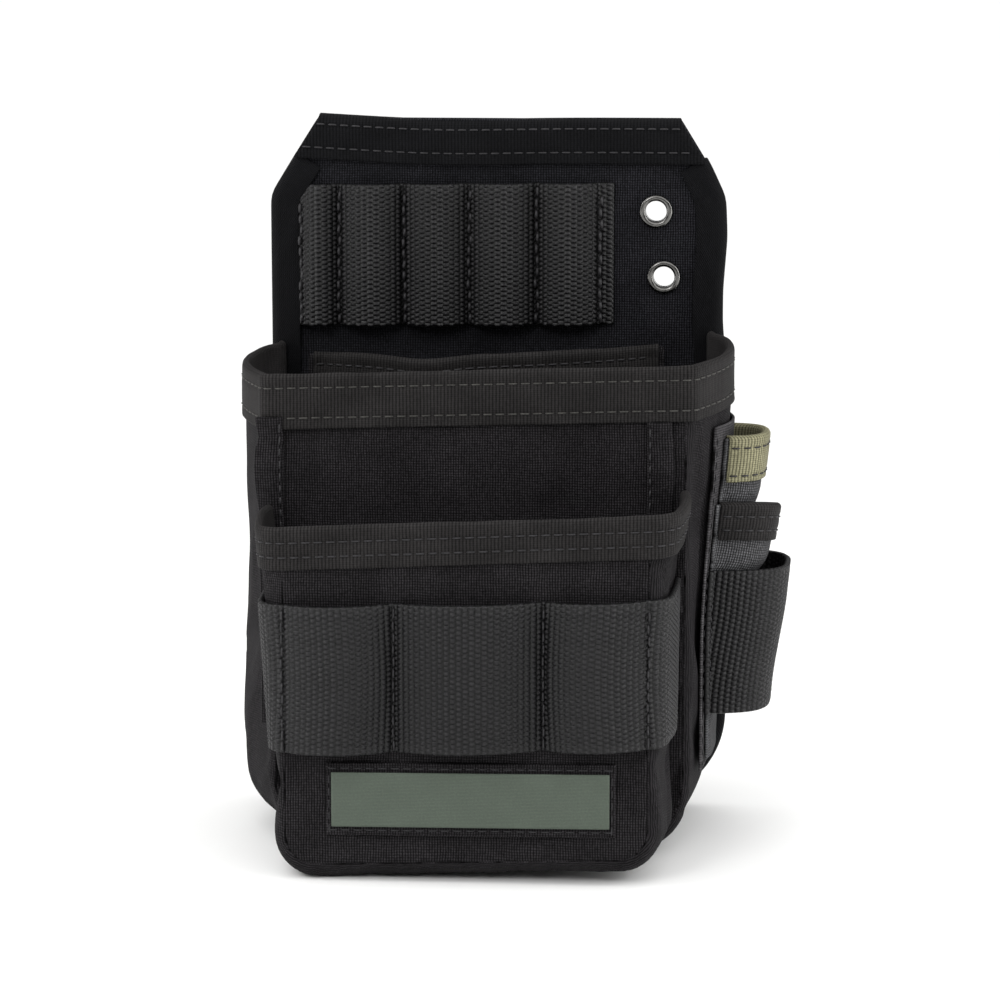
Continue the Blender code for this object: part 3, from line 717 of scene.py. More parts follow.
def settle(grid, spare, cap, held=1, frames=16, gravity=0.35):
    """Lets cloth cut `spare` larger than its frame buckle and hang, held along its edges.
    """
    rows, columns = grid.shape[:2]
    index = np.arange(rows * columns).reshape(rows, columns)
    quads = np.stack([index[:-1, :-1], index[:-1, 1:], index[1:, 1:], index[1:, :-1]], axis=2)
    # The solver works better on a larger piece, so it is drawn ten times life size.
    scale = 10.0
    mesh = bpy.data.meshes.new("settling")
    mesh.from_pydata(
        (grid.reshape(-1, 3) * METRES * scale).tolist(), [], quads.reshape(-1, 4).tolist()
    )
    hung = bpy.data.objects.new("settling", mesh)
    bpy.context.scene.collection.objects.link(hung)
    pins = hung.vertex_groups.new(name="held")
    edge = np.ones((rows, columns), bool)
    edge[held : rows - held, held : columns - held] = False
    pins.add(index[edge].tolist(), 1.0, "REPLACE")
    cloth = hung.modifiers.new("cloth", "CLOTH")
    cloth.settings.vertex_group_mass = "held"
    cloth.settings.quality = 6
    cloth.settings.mass = 0.4
    cloth.settings.bending_stiffness = 4.0
    cloth.settings.shrink_min = -spare
    cloth.settings.effector_weights.gravity = gravity
    cloth.collision_settings.use_collision = False
    cloth.point_cache.frame_start = 1
    cloth.point_cache.frame_end = frames
    scene = bpy.context.scene
    for number in range(1, frames + 1):
        scene.frame_set(number)
    solved = hung.evaluated_get(bpy.context.evaluated_depsgraph_get()).data
    flat = np.zeros(len(solved.vertices) * 3, np.float32)
    solved.vertices.foreach_get("co", flat)
    moved = flat.reshape(rows, columns, 3).astype(float) / METRES / scale - grid
    bpy.data.objects.remove(hung, do_unlink=True)
    scene.frame_set(1)
    # It may only slacken inwards, because tape and webbing are sewn over it.
    normals = normals_of(grid)
    moved -= normals * np.maximum((moved * normals).sum(axis=2, keepdims=True), 0.0)
    far = np.linalg.norm(moved, axis=2, keepdims=True)
    if not np.isfinite(far).all():
        raise RuntimeError("the cloth did not settle")
    held_back = cap * np.tanh(far / cap) / np.maximum(far, 1e-9)
    return grid + moved * held_back


def cut_holes(made, radius):
    """Cuts the eyelet holes through a piece of the back panel."""
    for x, z in EYELETS.values():
        turns = np.linspace(0, math.tau, 40, endpoint=False)
        points, faces = [], []
        for y in (PANEL_Y - 8, PANEL_Y + 14):
            points += [(x + radius * math.cos(t), y, z + radius * math.sin(t)) for t in turns]
        for n in range(40):
            m = (n + 1) % 40
            faces.append((n, n + 40, m + 40, m))
        faces += [tuple(range(40)), tuple(range(79, 39, -1))]
        cutter = make_object("hole", points, faces, made.data.materials[0])
        cut = made.modifiers.new("hole", "BOOLEAN")
        cut.operation = "DIFFERENCE"
        cut.solver = "EXACT"
        cut.object = cutter
        bpy.context.view_layer.update()
        graph = bpy.context.evaluated_depsgraph_get()
        done = bpy.data.meshes.new_from_object(
            made.evaluated_get(graph), preserve_all_data_layers=True, depsgraph=graph
        )
        made.modifiers.remove(cut)
        made.data = done
        bpy.data.objects.remove(cutter, do_unlink=True)


def place(made, slot, *stands_for, moves=False):
    """Hangs a piece on the pouch, or, for a piece of the front pocket, bakes its placing into its
    mesh and leaves it loose.
    """
    if stands_for:
        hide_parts(*stands_for)
    if moves:
        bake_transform(made)
    else:
        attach(made, "pouch")
    return made


# --- the pouch's own shapes --------------------------------------------------------------


def smooth(share):
    share = min(max(share, 0.0), 1.0)
    return share * share * (3 - 2 * share)


class Bag:
    """A boxed pocket: a flat front, and one strip of cloth as its two sides and its floor."""

    def __init__(
        self, left, right, front, back, roll, floor_roll, radius, tilt, rim, lean, bulge, pull
    ):
        self.left, self.right = left, right
        self.front, self.back = front, back
        self.roll, self.floor_roll = roll, floor_roll
        self.radius, self.tilt = radius, tilt
        self.rim, self.lean, self.bulge, self.pull = rim, lean, bulge, pull
        self.columns = [(angle, 0.0) for angle in range(0, 91, 10)]
        self.columns += [(90, step / 26) for step in range(1, 27)]

    def edge(self, side):
        return self.left if side < 0 else self.right

    def floor(self, x):
        return 0.5 + self.floor_roll + self.tilt * (x - self.left)

    def section(self, side, z, column, upright=1.0):
        angle, share = column
        turn = math.radians(angle)
        roll = self.floor_roll + (self.roll - self.floor_roll) * upright
        out = roll * math.sin(turn)
        out += upright * self.bulge(side, z) * math.sin(math.pi * share)
        out += upright * (self.lean * share - self.pull(side, z) * math.sin(turn))
        corner = self.front + roll * (1 - math.cos(turn))
        return out, corner + (self.back - corner) * share

    def wall(self, side, share_up, column):
        start = self.floor(self.edge(side)) + self.radius
        z = start + share_up * (self.rim(self.edge(side), self.front) - start)
        out, y = self.section(side, z, column)
        x = self.edge(side) + side * out
        return (x, y, start + share_up * (self.rim(x, y) - start))

    def corner(self, side, angle, column):
        turn = math.radians(angle)
        across, down = math.cos(turn), math.sin(turn)
        middle = self.edge(side) - side * self.radius
        level = self.floor(middle + side * self.radius * across)
        out, y = self.section(side, level + self.radius, column, across**3)
        reach = self.radius + out
        return (middle + side * reach * across, y, level + self.radius - reach * down)

    def strip(self, rows=60):
        grid = [[self.wall(-1, 1 - n / rows, c) for c in self.columns] for n in range(rows + 1)]
        angles = range(6, 91, 6)
        grid += [[self.corner(-1, angle, c) for c in self.columns] for angle in angles]
        ends = [np.array([self.corner(side, 90, c) for c in self.columns]) for side in (-1, 1)]
        grid += [(ends[0] + (ends[1] - ends[0]) * n / 30).tolist() for n in range(1, 30)]
        grid += [[self.corner(1, angle, c) for c in self.columns] for angle in angles[::-1]]
        grid += [[self.wall(1, n / rows, c) for c in self.columns] for n in range(rows + 1)]
        return np.array(grid)

    def face(self, belly=0.0):
        """The front panel; `belly` pushes its middle forwards."""
        left, right = self.left + GAP, self.right - GAP
        radius = self.radius - GAP
        grid = []
        for row in range(61):
            line = []
            for step in range(81):
                share = (1 - math.cos(math.pi * step / 80)) / 2
                x = left + (right - left) * share
                past = max(left + radius - x, x - right + radius, 0.0)
                low = self.floor(x) + GAP + radius
                low -= math.sqrt(max(radius**2 - past**2, 0.0))
                z = low + (self.rim(x, self.front) - low) * row / 60
                line.append((x, self.front - belly * self.swell(x, z), z))
            grid.append(line)
        return np.array(grid)

    def swell(self, x, z):
        """How far the front stands out at a point, from 0 at its edges to 1."""
        middle = (self.left + self.right) / 2
        across = max(1 - ((x - middle) * 2 / (self.right - self.left)) ** 2, 0)
        top = self.rim(x, self.front)
        up = max(1 - ((z - top * 0.45) / (top * 0.6)) ** 2, 0)
        return across * up

    def plan(self, z, xs):
        points = []
        for column in self.columns[::-1]:
            out, y = self.section(-1, z, column)
            points.append((self.left - out, y))
        points += [(x, self.front) for x in xs]
        for column in self.columns:
            out, y = self.section(1, z, column)
            points.append((self.right + out, y))
        return points


def main_bulge(side, z):
    if side < 0:
        return 9.5 + 2.5 * math.exp(-(((z - 42) / 28) ** 2))
    return 1.0 + 8.5 * smooth((z - 70) / 90)


def main_rim(x, y):
    return 171.4 + RIM_TILT * x + 3.0 * smooth((y + 36) / 70)


def pocket_rim(x, y):
    return 125.4 + 0.048 * x + 1.6 * smooth((y + 76) / 38)


def pocket_bulge(side, z):
    """The pocket's sides fold in a little under the rim, above the webbing."""
    return 1.2 - 3.0 * math.exp(-(((z - 106) / 7) ** 2))


def main_pull(side, z):
    return 0.0


def pocket_pull(side, z):
    """The webbing draws the pocket in below its rim."""
    heights, pulls = zip(*(POCKET_PULL_LEFT if side < 0 else POCKET_PULL_RIGHT))
    return float(np.interp(z, heights, pulls))


MAIN = Bag(
    -73.5, 71.0, -36.0, 33.2, 3.0, 3.0, 22.0, 0.0, main_rim, 3.2, main_bulge, main_pull
)
POCKET = Bag(
    -64.0, 60.7, -76.0, -37.6, 9.5, 5.0, 10.0, 0.036, pocket_rim, 0.8, pocket_bulge, pocket_pull
)


def offsets(path):
    """Outward normals of a path in plan, lengthened where it turns so widths hold."""
    path = np.asarray(path, float)
    legs = np.diff(path, axis=0)
    sizes = np.linalg.norm(legs, axis=1, keepdims=True)
    legs = legs / np.maximum(sizes, 1e-6)
    before = np.concatenate([legs[:1], legs])
    after = np.concatenate([legs, legs[-1:]])
    mean = (before + after) / 2
    size = np.maximum((mean**2).sum(axis=1), 0.2)
    return np.stack([mean[:, 1] / size, -mean[:, 0] / size], axis=1)


def fold(clear, drop, thickness, inner_drop=None):
    """Tape folded over an edge: (sideways, up) from the edge, from the outside to the inside."""
    side = clear / 2 + thickness / 2
    top = GAP + thickness / 2
    inner = drop if inner_drop is None else inner_drop
    points = [(-side, -drop + (drop + top - side) * n / 24) for n in range(25)]
    for angle in range(165, 0, -15):
        turn = math.radians(angle)
        points.append((side * math.cos(turn), top - side + side * math.sin(turn)))
    return points + [(side, top - side - (inner + top - side) * n / 16) for n in range(17)]


def rim_tape(plan_at, heights, drop, cloth, tape, skip=0):
    """A tape folded over a cloth wall's top, as a grid of section points along the path."""
    section = fold(cloth + 2 * GAP, drop, tape)
    out = offsets(plan_at(max(heights)))
    wanted = range(skip, len(heights) - skip)
    grid = []
    for aside, up in section:
        line = []
        for n in wanted:
            x, y = plan_at(heights[n] + min(up, 0.0))[n]
            line.append((x - out[n][0] * aside, y - out[n][1] * aside, heights[n] + up))
        grid.append(line)
    return np.array(grid)


def bag_rim(bag, drop, cloth, tape):
    xs = np.linspace(bag.left + 2, bag.right - 2, 40).tolist()

    def plan_at(z):
        path = bag.plan(z, xs)
        for end, near in ((0, 1), (-1, -2)):
            a, b = np.array(path[end]), np.array(path[near])
            path[end] = tuple(a + (b - a) * 0.12)
        return path

    heights = [bag.rim(x, y) for x, y in plan_at(bag.rim(0, bag.front))]
    return rim_tape(plan_at, heights, drop, cloth, tape)


def right_bow(z):
    """The backboard's right edge is curled by its tape, out of a straight line."""
    return float(
        np.interp(z, (150, 181, 193, 212, 226, 238, 254), (0.0, -2.6, -2.6, -1.2, -1.8, 0.0, 0.0))
    )


def panel_half(z):
    """Half the back panel's width at a height."""
    if z > CHAMFER_FOOT:
        share = (z - CHAMFER_FOOT) / (PANEL_TOP - CHAMFER_FOOT)
        return PANEL_HALF + (PANEL_TOP_HALF - PANEL_HALF) * share
    past = max(PANEL_FLOOR + PANEL_CORNER - z, 0.0)
    return PANEL_HALF - PANEL_CORNER + math.sqrt(max(PANEL_CORNER**2 - past**2, 0.0))


def panel_grid(y, facing):
    heights = np.concatenate(
        [
            PANEL_FLOOR + PANEL_CORNER * (1 - np.cos(np.linspace(0, math.pi / 2, 8)))[:-1],
            np.linspace(PANEL_FLOOR + PANEL_CORNER, CHAMFER_FOOT, 70)[:-1],
            np.linspace(CHAMFER_FOOT, PANEL_TOP, 12),
        ]
    )
    shares = np.linspace(-1, 1, 61) * facing
    grid = []
    for z in heights:
        half = panel_half(z)
        grid.append([(s * half + max(s, 0.0) * right_bow(z), y, z) for s in shares])
    return np.array(grid)


def panel_outline():
    """The back panel's edge as (x, z), from the top right round the bottom to the top left."""
    right = [(PANEL_TOP_HALF, PANEL_TOP), (PANEL_HALF, CHAMFER_FOOT)]
    for angle in range(0, 91, 9):
        turn = math.radians(angle)
        x = PANEL_HALF - PANEL_CORNER + PANEL_CORNER * math.cos(turn)
        right.append((x, PANEL_FLOOR + PANEL_CORNER - PANEL_CORNER * math.sin(turn)))
    return right, [(-x, z) for x, z in right[::-1]]


def top_wave(x):
    """The top edge dips a little in the middle, and its left corner stands higher."""
    return 1.3 * max(-x / PANEL_TOP_HALF, 0.0) ** 2 - 0.9 * math.exp(-(((x + 22) / 34) ** 2))


def domed(seams, domes):
    """(position, height) along webbing that is flat at each seam and domed between them."""
    points = [(seams[0], 0.0)]
    for start, end, rise in zip(seams, seams[1:], domes):
        low, high = start + 0.9, end - 0.9
        for step in range(49):
            share = step / 48
            up = rise * math.sin(math.pi * share) ** 0.7 if 0 < step < 48 else 0.0
            points.append((low + (high - low) * share, up))
    return points + [(seams[-1], 0.0)]


def inner_plan(z):
    open_share = smooth((z - INNER_LOW) / (INNER_HIGH - INNER_LOW))
    depth = 2.0 + (INNER_BULGE - 2.0) * open_share
    points = []
    for step in range(65):
        share = step / 64
        inside = min(max((share - 0.05) / 0.9, 0.0), 1.0)
        rise = depth * math.sin(math.pi * inside) ** 0.8 if 0 < inside < 1 else 0.0
        x = INNER_LEFT + (INNER_RIGHT - INNER_LEFT) * share
        points.append((x, PANEL_Y - GAP - 0.5 - rise))
    return points


def inner_rim(x):
    return INNER_HIGH + RIM_TILT * x - 1.8 * math.exp(-(((x + 26) / 14) ** 2))


def right_wall(y, z):
    start = MAIN.front + MAIN.roll
    share = (y - start) / (MAIN.back - start)
    return MAIN.right + MAIN.section(1, z, (90, share))[0] + 0.5


def side_plan(spot, z, depth, thickness):
    front, back = spot[:2]
    away = 0.55 + 1.0 + 0.45 + thickness / 2
    start, end = front + SIDE_FLANGE, back - SIDE_FLANGE
    points = [(right_wall(front, z) + away, front)]
    for step in range(49):
        share = (1 - math.cos(math.pi * step / 48)) / 2
        y = start + (end - start) * share
        rise = depth * math.sqrt(max(1 - (2 * share - 1) ** 4, 0.0))
        points.append((right_wall(y, z) + away + rise, y))
    return points + [(right_wall(back, z) + away, back)]


def side_grid(spot, depth, thickness, slope=0.0, rows=40):
    low, high = spot[2:]
    grid = []
    for row in range(rows + 1):
        line = []
        for n, (_, y) in enumerate(side_plan(spot, low, 0.0, thickness)):
            z = low + (high + slope * y - low) * row / rows
            line.append((side_plan(spot, z, depth(z), thickness)[n][0], y, z))
        grid.append(line)
    return np.array(grid)


def side_rim(spot, depth, drop, cloth, tape, slope=0.0):
    def plan_at(z):
        return side_plan(spot, z, depth(z), cloth)

    heights = [spot[3] + slope * y for _, y in plan_at(spot[3])]
    return rim_tape(plan_at, heights, drop, cloth, tape, skip=1)


def pressed_depth(z):
    return 0.8 + 7.2 * smooth((z - SIDE_TALL[2]) / 85)


def tall_depth(z):
    return pressed_depth(z) + 2.4 * smooth((z - 114) / 13)


def short_depth(z):
    return pressed_depth(z) + 3.0 + 6.6 * smooth((z - 90) / 13)


def loop_depth(z):
    return 24.3 - 4.5 * smooth((88 - z) / 40)


# --- operators ---------------------------------------------------------------------------


class PieceOperator:
    bl_options = {"REGISTER", "UNDO"}

    def execute(self, context):
        sizes = context.scene.pouch_sizes
        self.cloth = sizes.cloth / METRES
        self.tape = sizes.tape / METRES
        self.webbing = sizes.webbing / METRES
        self.width = sizes.webbing_width / METRES
        self.sizes = sizes
        self.finishes = cloths(context)
        self.make()
        return {"FINISHED"}


class POUCH_OT_back_panel(PieceOperator, bpy.types.Operator):
    """The backboard's two layers of cloth, with the board between them"""

    bl_idname = "pouch.back_panel"
    bl_label = "Back panel"

    def make(self):
        finish = self.finishes["panel_cloth"]
        front = rumple(panel_grid(PANEL_Y + self.cloth / 2, 1), 0.35, 34.0, 3.0)
        made, _ = shell("backboard_front_cloth", front, self.cloth, finish, flat=True)
        cut_holes(made, EYELET_HOLE)
        place(made, BLACK_CLOTH, "back_panel_face")
        rear_y = PANEL_Y + STACK - self.cloth / 2
        rear = panel_grid(rear_y, -1)
        made, _ = shell("backboard_lining", rear, self.cloth, finish, flat=True)
        cut_holes(made, EYELET_HOLE)
        place(made, BLACK_CLOTH, "back_panel_lining")
        board = frame["nodes"]["back_panel_stiffener"]
        for material_slot in board.material_slots:
            material_slot.material = self.finishes["polyethylene_board"]


class POUCH_OT_back_bindings(PieceOperator, bpy.types.Operator):
    """Tape folded round the backboard's sides, and the wide band over its top"""

    bl_idname = "pouch.back_bindings"
    bl_label = "Backboard bindings"

    def make(self):
        finish = self.finishes["black_grosgrain"]
        middle = PANEL_Y + STACK / 2
        right, left = panel_outline()
        path = [tuple(np.array(right[1]) + (np.array(right[0]) - np.array(right[1])) * 0.5)]
        path += right[1:] + left[:-1]
        path.append(tuple(np.array(left[-2]) + (np.array(left[-1]) - np.array(left[-2])) * 0.54))
        path = even(np.array([[(x, 0.0, z) for x, z in path]] * 2), 2.0, 1.0)[0]
        path[:, 0] += [right_bow(z) if x > 60 else 0.0 for x, _, z in path]
        path = smoothed(path, 2)
        out = offsets([(x, z) for x, _, z in path])
        section = fold(STACK + 2 * GAP, SIDE_BINDING_WIDTH, self.tape)
        grid = []
        for aside, up in section:
            wander = [
                0.4 * noise.noise(Vector((n * 0.06, up * 0.05, 2.0))) for n in range(len(path))
            ]
            line = []
            for n, ((x, _, z), (nx, nz)) in enumerate(zip(path, out)):
                line.append((x - nx * up, middle + aside + min(wander[n], 0.0), z - nz * up))
            grid.append(line)
        grid = np.array(grid)[:, ::-1]
        made, face = shell(
            "backboard_side_binding", grid, self.tape, finish, grooves([2.2, 19.0])
        )
        place(made, "black_grosgrain", "back_panel_side_binding")
        rows = [line_up(face, 2.2)]

        section = fold(STACK + 2 * GAP + 2 * self.tape, TOP_BINDING_WIDTH, self.tape)
        slope = (PANEL_HALF - PANEL_TOP_HALF) / (PANEL_TOP - CHAMFER_FOOT)
        grid = []
        for aside, up in section:
            half = PANEL_TOP_HALF - min(up, 0.0) * slope
            line = []
            for share in np.linspace(-1, 1, 70):
                x = share * half
                z = PANEL_TOP - 0.4 + up
                bow = max(share, 0.0) * right_bow(z)
                line.append((x + bow, middle + aside, z + top_wave(x)))
            grid.append(line)
        grid = np.array(grid)
        made, face = shell("backboard_top_band", grid, self.tape, finish, grooves([4.2, 13.2]))
        place(made, "black_grosgrain", "back_panel_top_binding")
        rows += [line_up(face, 4.2), line_up(face, 13.2)]
        made = stitches(
            "backboard_binding_stitches", rows, self.finishes["black_thread"], self.sizes
        )
        place(made, "black_grosgrain")


class POUCH_OT_driver_loops(PieceOperator, bpy.types.Operator):
    """Webbing sewn to the backboard in rows, making loops for screwdrivers"""

    bl_idname = "pouch.driver_loops"
    bl_label = "Driver loops"

    def make(self):
        rest = PANEL_Y - GAP - 0.1 - self.webbing / 2
        start = DRIVER_SEAMS[0]
        grid = []
        for share in np.linspace(0, 1, 12):
            line = []
            for x, rise in domed(DRIVER_SEAMS, DRIVER_DOMES):
                low = DRIVER_LOW + DRIVER_TILT * x
                clip = DRIVER_CLIP_LOW + DRIVER_CLIP_SLOPE * (x - start)
                high = min(low + self.width, clip)
                line.append((x, rest - rise, low + (high - low) * share))
            grid.append(line)
        grid = even(grid, 0.42, 0.35)
        made, face = shell(
            "driver_webbing",
            grid,
            self.webbing,
            self.finishes["black_webbing"],
            knuckles(self.sizes, self.width),
        )
        place(made, "black_webbing", "driver_loop_webbing")
        rows = []
        xs = face[0][len(face[0]) // 2, :, 0]
        for seam in DRIVER_SEAMS[:-1]:
            column = int(np.argmin(np.abs(xs - seam - 0.4)))
            spots = face[0][:, column].copy()
            out = np.tile((0.0, -1.0, 0.0), (len(spots), 1))
            rows.append((spots + (0.1, -0.75, 0.0), out))
        made = stitches(
            "driver_webbing_stitches",
            rows,
            self.finishes["black_thread"],
            self.sizes,
            bold=2.1,
            reach=0.86,
            sway=1.0,
        )
        place(made, "black_webbing")


class POUCH_OT_eyelets(PieceOperator, bpy.types.Operator):
    """Two nickel eyelets with their washers"""

    bl_idname = "pouch.eyelets"
    bl_label = "Eyelets"

    def make(self):
        front, back = PANEL_Y - GAP, PANEL_Y + STACK + GAP
        profile = []
        for angle in range(0, 181, 15):
            turn = math.radians(angle)
            profile.append((4.93 + 1.08 * math.cos(turn), front - 0.1 - 0.85 * math.sin(turn)))
        profile += [(3.85, back + 1.0)]
        for angle in range(180, -1, -20):
            turn = math.radians(angle)
            profile.append((4.55 + 0.7 * math.cos(turn), back + 1.0 + 0.55 * math.sin(turn)))
        profile += [(4.3, back + 0.9), (4.3, front + 0.05), (6.0, front + 0.05)]
        for name, (x, z) in EYELETS.items():
            steps = 72
            points, faces = [], []
            for n in range(steps):
                turn = math.tau * n / steps
                for radius, y in profile:
                    points.append((x + radius * math.cos(turn), y, z + radius * math.sin(turn)))
            size = len(profile)
            for n in range(steps):
                for k in range(size):
                    a, b = n * size + k, n * size + (k + 1) % size
                    c, d = ((n + 1) % steps) * size + (k + 1) % size, ((n + 1) % steps) * size + k
                    faces.append((a, b, c, d))
            made = make_object(name + "_eyelet_ring", points, faces, self.finishes["nickel_plate"])
            place(made, "nickel_plate", name + "_eyelet")
            washer = frame["nodes"][name + "_eyelet_washer"]
            for material_slot in washer.material_slots:
                material_slot.material = self.finishes["nickel_plate"]


class POUCH_OT_belt_tunnel(PieceOperator, bpy.types.Operator):
    """The panel on the back that a belt goes through"""

    bl_idname = "pouch.belt_tunnel"
    bl_label = "Belt tunnel"

    def make(self):
        rest = PANEL_Y + STACK + GAP + self.cloth / 2
        grid = []
        for z in np.linspace(TUNNEL_LOW, TUNNEL_HIGH, 70):
            span = TUNNEL_HIGH - TUNNEL_LOW - 2 * TUNNEL_SEAM
            share = min(max((z - TUNNEL_LOW - TUNNEL_SEAM) / span, 0.0), 1.0)
            rise = TUNNEL_DEPTH * min(math.sin(math.pi * share) * 4.5, 1.0) ** 0.6
            line = []
            for s in np.linspace(1, -1, 50):
                line.append((TUNNEL_HALF * s, rest + rise, z))
            grid.append(line)
        made, face = shell(
            "belt_tunnel",
            rumple(np.array(grid), 0.4, 26.0, 8.0),
            self.cloth,
            self.finishes[BLACK_CLOTH],
            grooves([3.0]),
        )
        place(made, BLACK_CLOTH, "belt_tunnel_panel")
        rows = [line_up(face, 1.6), line_up(face, 4.2), line_up(face, -1.6), line_up(face, -4.2)]
        made = stitches("belt_tunnel_stitches", rows, self.finishes["black_thread"], self.sizes)
        place(made, BLACK_CLOTH)


class POUCH_OT_main_compartment(PieceOperator, bpy.types.Operator):
    """The main compartment's front, its strip of sides and floor, its corner seams and its rim"""

    bl_idname = "pouch.main_compartment"
    bl_label = "Main compartment"

    def make(self):
        cloth = self.finishes[BLACK_CLOTH]
        black = self.finishes["black_thread"]
        grid = even(MAIN.strip(), 2.4, 2.4)
        grid = rumple(settle(grid, 0.012, 1.6), 0.9, 30.0, 5.0)
        grid[..., 2] = np.maximum(grid[..., 2], 0.55)
        made, _ = shell("main_sides_and_floor", grid, self.cloth, cloth)
        place(made, BLACK_CLOTH, "main_gusset")

        front = even(MAIN.face(), 2.4, 2.4)
        front = rumple(settle(front, 0.012, 1.4), 0.5, 28.0, 11.0)
        made, _ = shell("main_front_cloth", front, self.cloth, cloth, flat=True)
        place(made, BLACK_CLOTH, "main_front_panel")

        lines = []
        for name, inner, outer in (("left", -69.4, -77.6), ("right", 58.0, 66.4)):
            grid = []
            for share in np.linspace(0, 1, 16):
                line = []
                for z in np.linspace(46.0, 155.0, 80):
                    belly = 1.7 * math.exp(-(((z - 137) / 12) ** 2)) - 1.2 * smooth((z - 142) / 12)
                    away = outer + (math.copysign(belly, outer) if name == "left" else 0.3 * belly)
                    x = inner + (away - inner) * share
                    rise = 1.1 * math.sin(math.pi * min(share * 1.05, 1.0)) ** 0.7
                    line.append((x, MAIN.front - 1.25 - rise, z))
                grid.append(line)
            grid = np.array(grid).transpose(1, 0, 2)
            if outer < inner:
                grid = grid[:, ::-1]
            grid = rumple(grid, 0.6, 15.0, 17.0, hold=3.0)
            made, face = shell(name + "_corner_seam", grid, self.cloth, cloth)
            place(made, BLACK_CLOTH)
            lines.append(line_across(face, 1.3 if name == "right" else -1.3))
        made = stitches("corner_seam_stitches", lines, black, self.sizes)
        place(made, BLACK_CLOTH)

        tape = self.finishes["charcoal_grosgrain"]
        grid = bag_rim(MAIN, MAIN_RIM_BINDING, self.cloth, self.tape)
        grid = rumple(even(grid, 1.6, 0.75), 0.55, 22.0, 21.0, hold=0.5)
        made, face = shell("main_rim_tape", grid, self.tape, tape, grooves([3.6, 14.2]))
        place(made, "charcoal_grosgrain", "main_rim_binding")
        rows = [line_up(face, 3.6), line_up(face, 14.2)]
        grey = self.finishes["grey_thread"]
        made = stitches("main_rim_stitches", rows, grey, self.sizes, 0.85)
        place(made, "charcoal_grosgrain")


class POUCH_OT_inner_pocket(PieceOperator, bpy.types.Operator):
    """The pocket on the inside of the backboard"""

    bl_idname = "pouch.inner_pocket"
    bl_label = "Inner pocket"

    def make(self):
        grid = []
        count = len(inner_plan(INNER_HIGH))
        for row in range(41):
            line = []
            for n in range(count):
                x = inner_plan(INNER_HIGH)[n][0]
                z = INNER_LOW + (inner_rim(x) - INNER_LOW) * row / 40
                line.append((x, inner_plan(z)[n][1], z))
            grid.append(line)
        grid = rumple(settle(even(grid, 2.4, 2.6), 0.01, 1.2), 0.5, 26.0, 31.0)
        made, _ = shell("inner_pocket_cloth", grid, self.cloth, self.finishes[BLACK_CLOTH])
        place(made, BLACK_CLOTH, "inner_pocket_panel")
        heights = [inner_rim(x) for x, _ in inner_plan(INNER_HIGH)]
        grid = rim_tape(inner_plan, heights, INNER_BINDING, self.cloth, self.tape, skip=1)
        grid = rumple(even(grid, 1.6, 0.8), 0.5, 20.0, 33.0, hold=0.5)
        finish = self.finishes["charcoal_grosgrain"]
        made, face = shell("inner_pocket_tape", grid, self.tape, finish, grooves([3.0, 9.5]))
        place(made, "charcoal_grosgrain", "inner_pocket_binding")
        rows = [line_up(face, 3.0), line_up(face, 9.5)]
        made = stitches("inner_pocket_stitches", rows, self.finishes["black_thread"], self.sizes)
        place(made, "charcoal_grosgrain")


class POUCH_OT_front_pocket(PieceOperator, bpy.types.Operator):
    """The front pocket's cloth and the tape on its rim"""

    bl_idname = "pouch.front_pocket"
    bl_label = "Front pocket"

    def make(self):
        cloth = self.finishes[BLACK_CLOTH]
        grid = even(POCKET.strip(), 2.0, 2.2)
        grid = rumple(settle(grid, 0.014, 1.6), 0.8, 20.0, 41.0)
        grid[..., 2] = np.maximum(grid[..., 2], 0.55)
        made, _ = shell("pocket_sides_and_floor", grid, self.cloth, cloth)
        place(made, BLACK_CLOTH, "front_pocket_gusset", moves=True)
        grid = even(POCKET.face(), 2.2, 2.2)
        grid = rumple(settle(grid, 0.014, 1.2), 0.4, 24.0, 43.0)
        made, _ = shell("pocket_front_cloth", grid, self.cloth, cloth, flat=True)
        place(made, BLACK_CLOTH, "front_pocket_panel", moves=True)
        grid = bag_rim(POCKET, POCKET_RIM_BINDING, self.cloth, self.tape)
        grid = rumple(even(grid, 1.5, 0.7), 0.5, 22.0, 47.0, hold=0.5)
        tape = self.finishes["charcoal_grosgrain"]
        made, face = shell("pocket_rim_tape", grid, self.tape, tape, grooves([4.2, 9.3], 0.34))
        place(made, "charcoal_grosgrain", "front_pocket_rim_binding", moves=True)
        rows = [line_up(face, 4.2), line_up(face, 9.3)]
        made = stitches("pocket_rim_stitches", rows, self.finishes["black_thread"], self.sizes)
        place(made, "charcoal_grosgrain", moves=True)


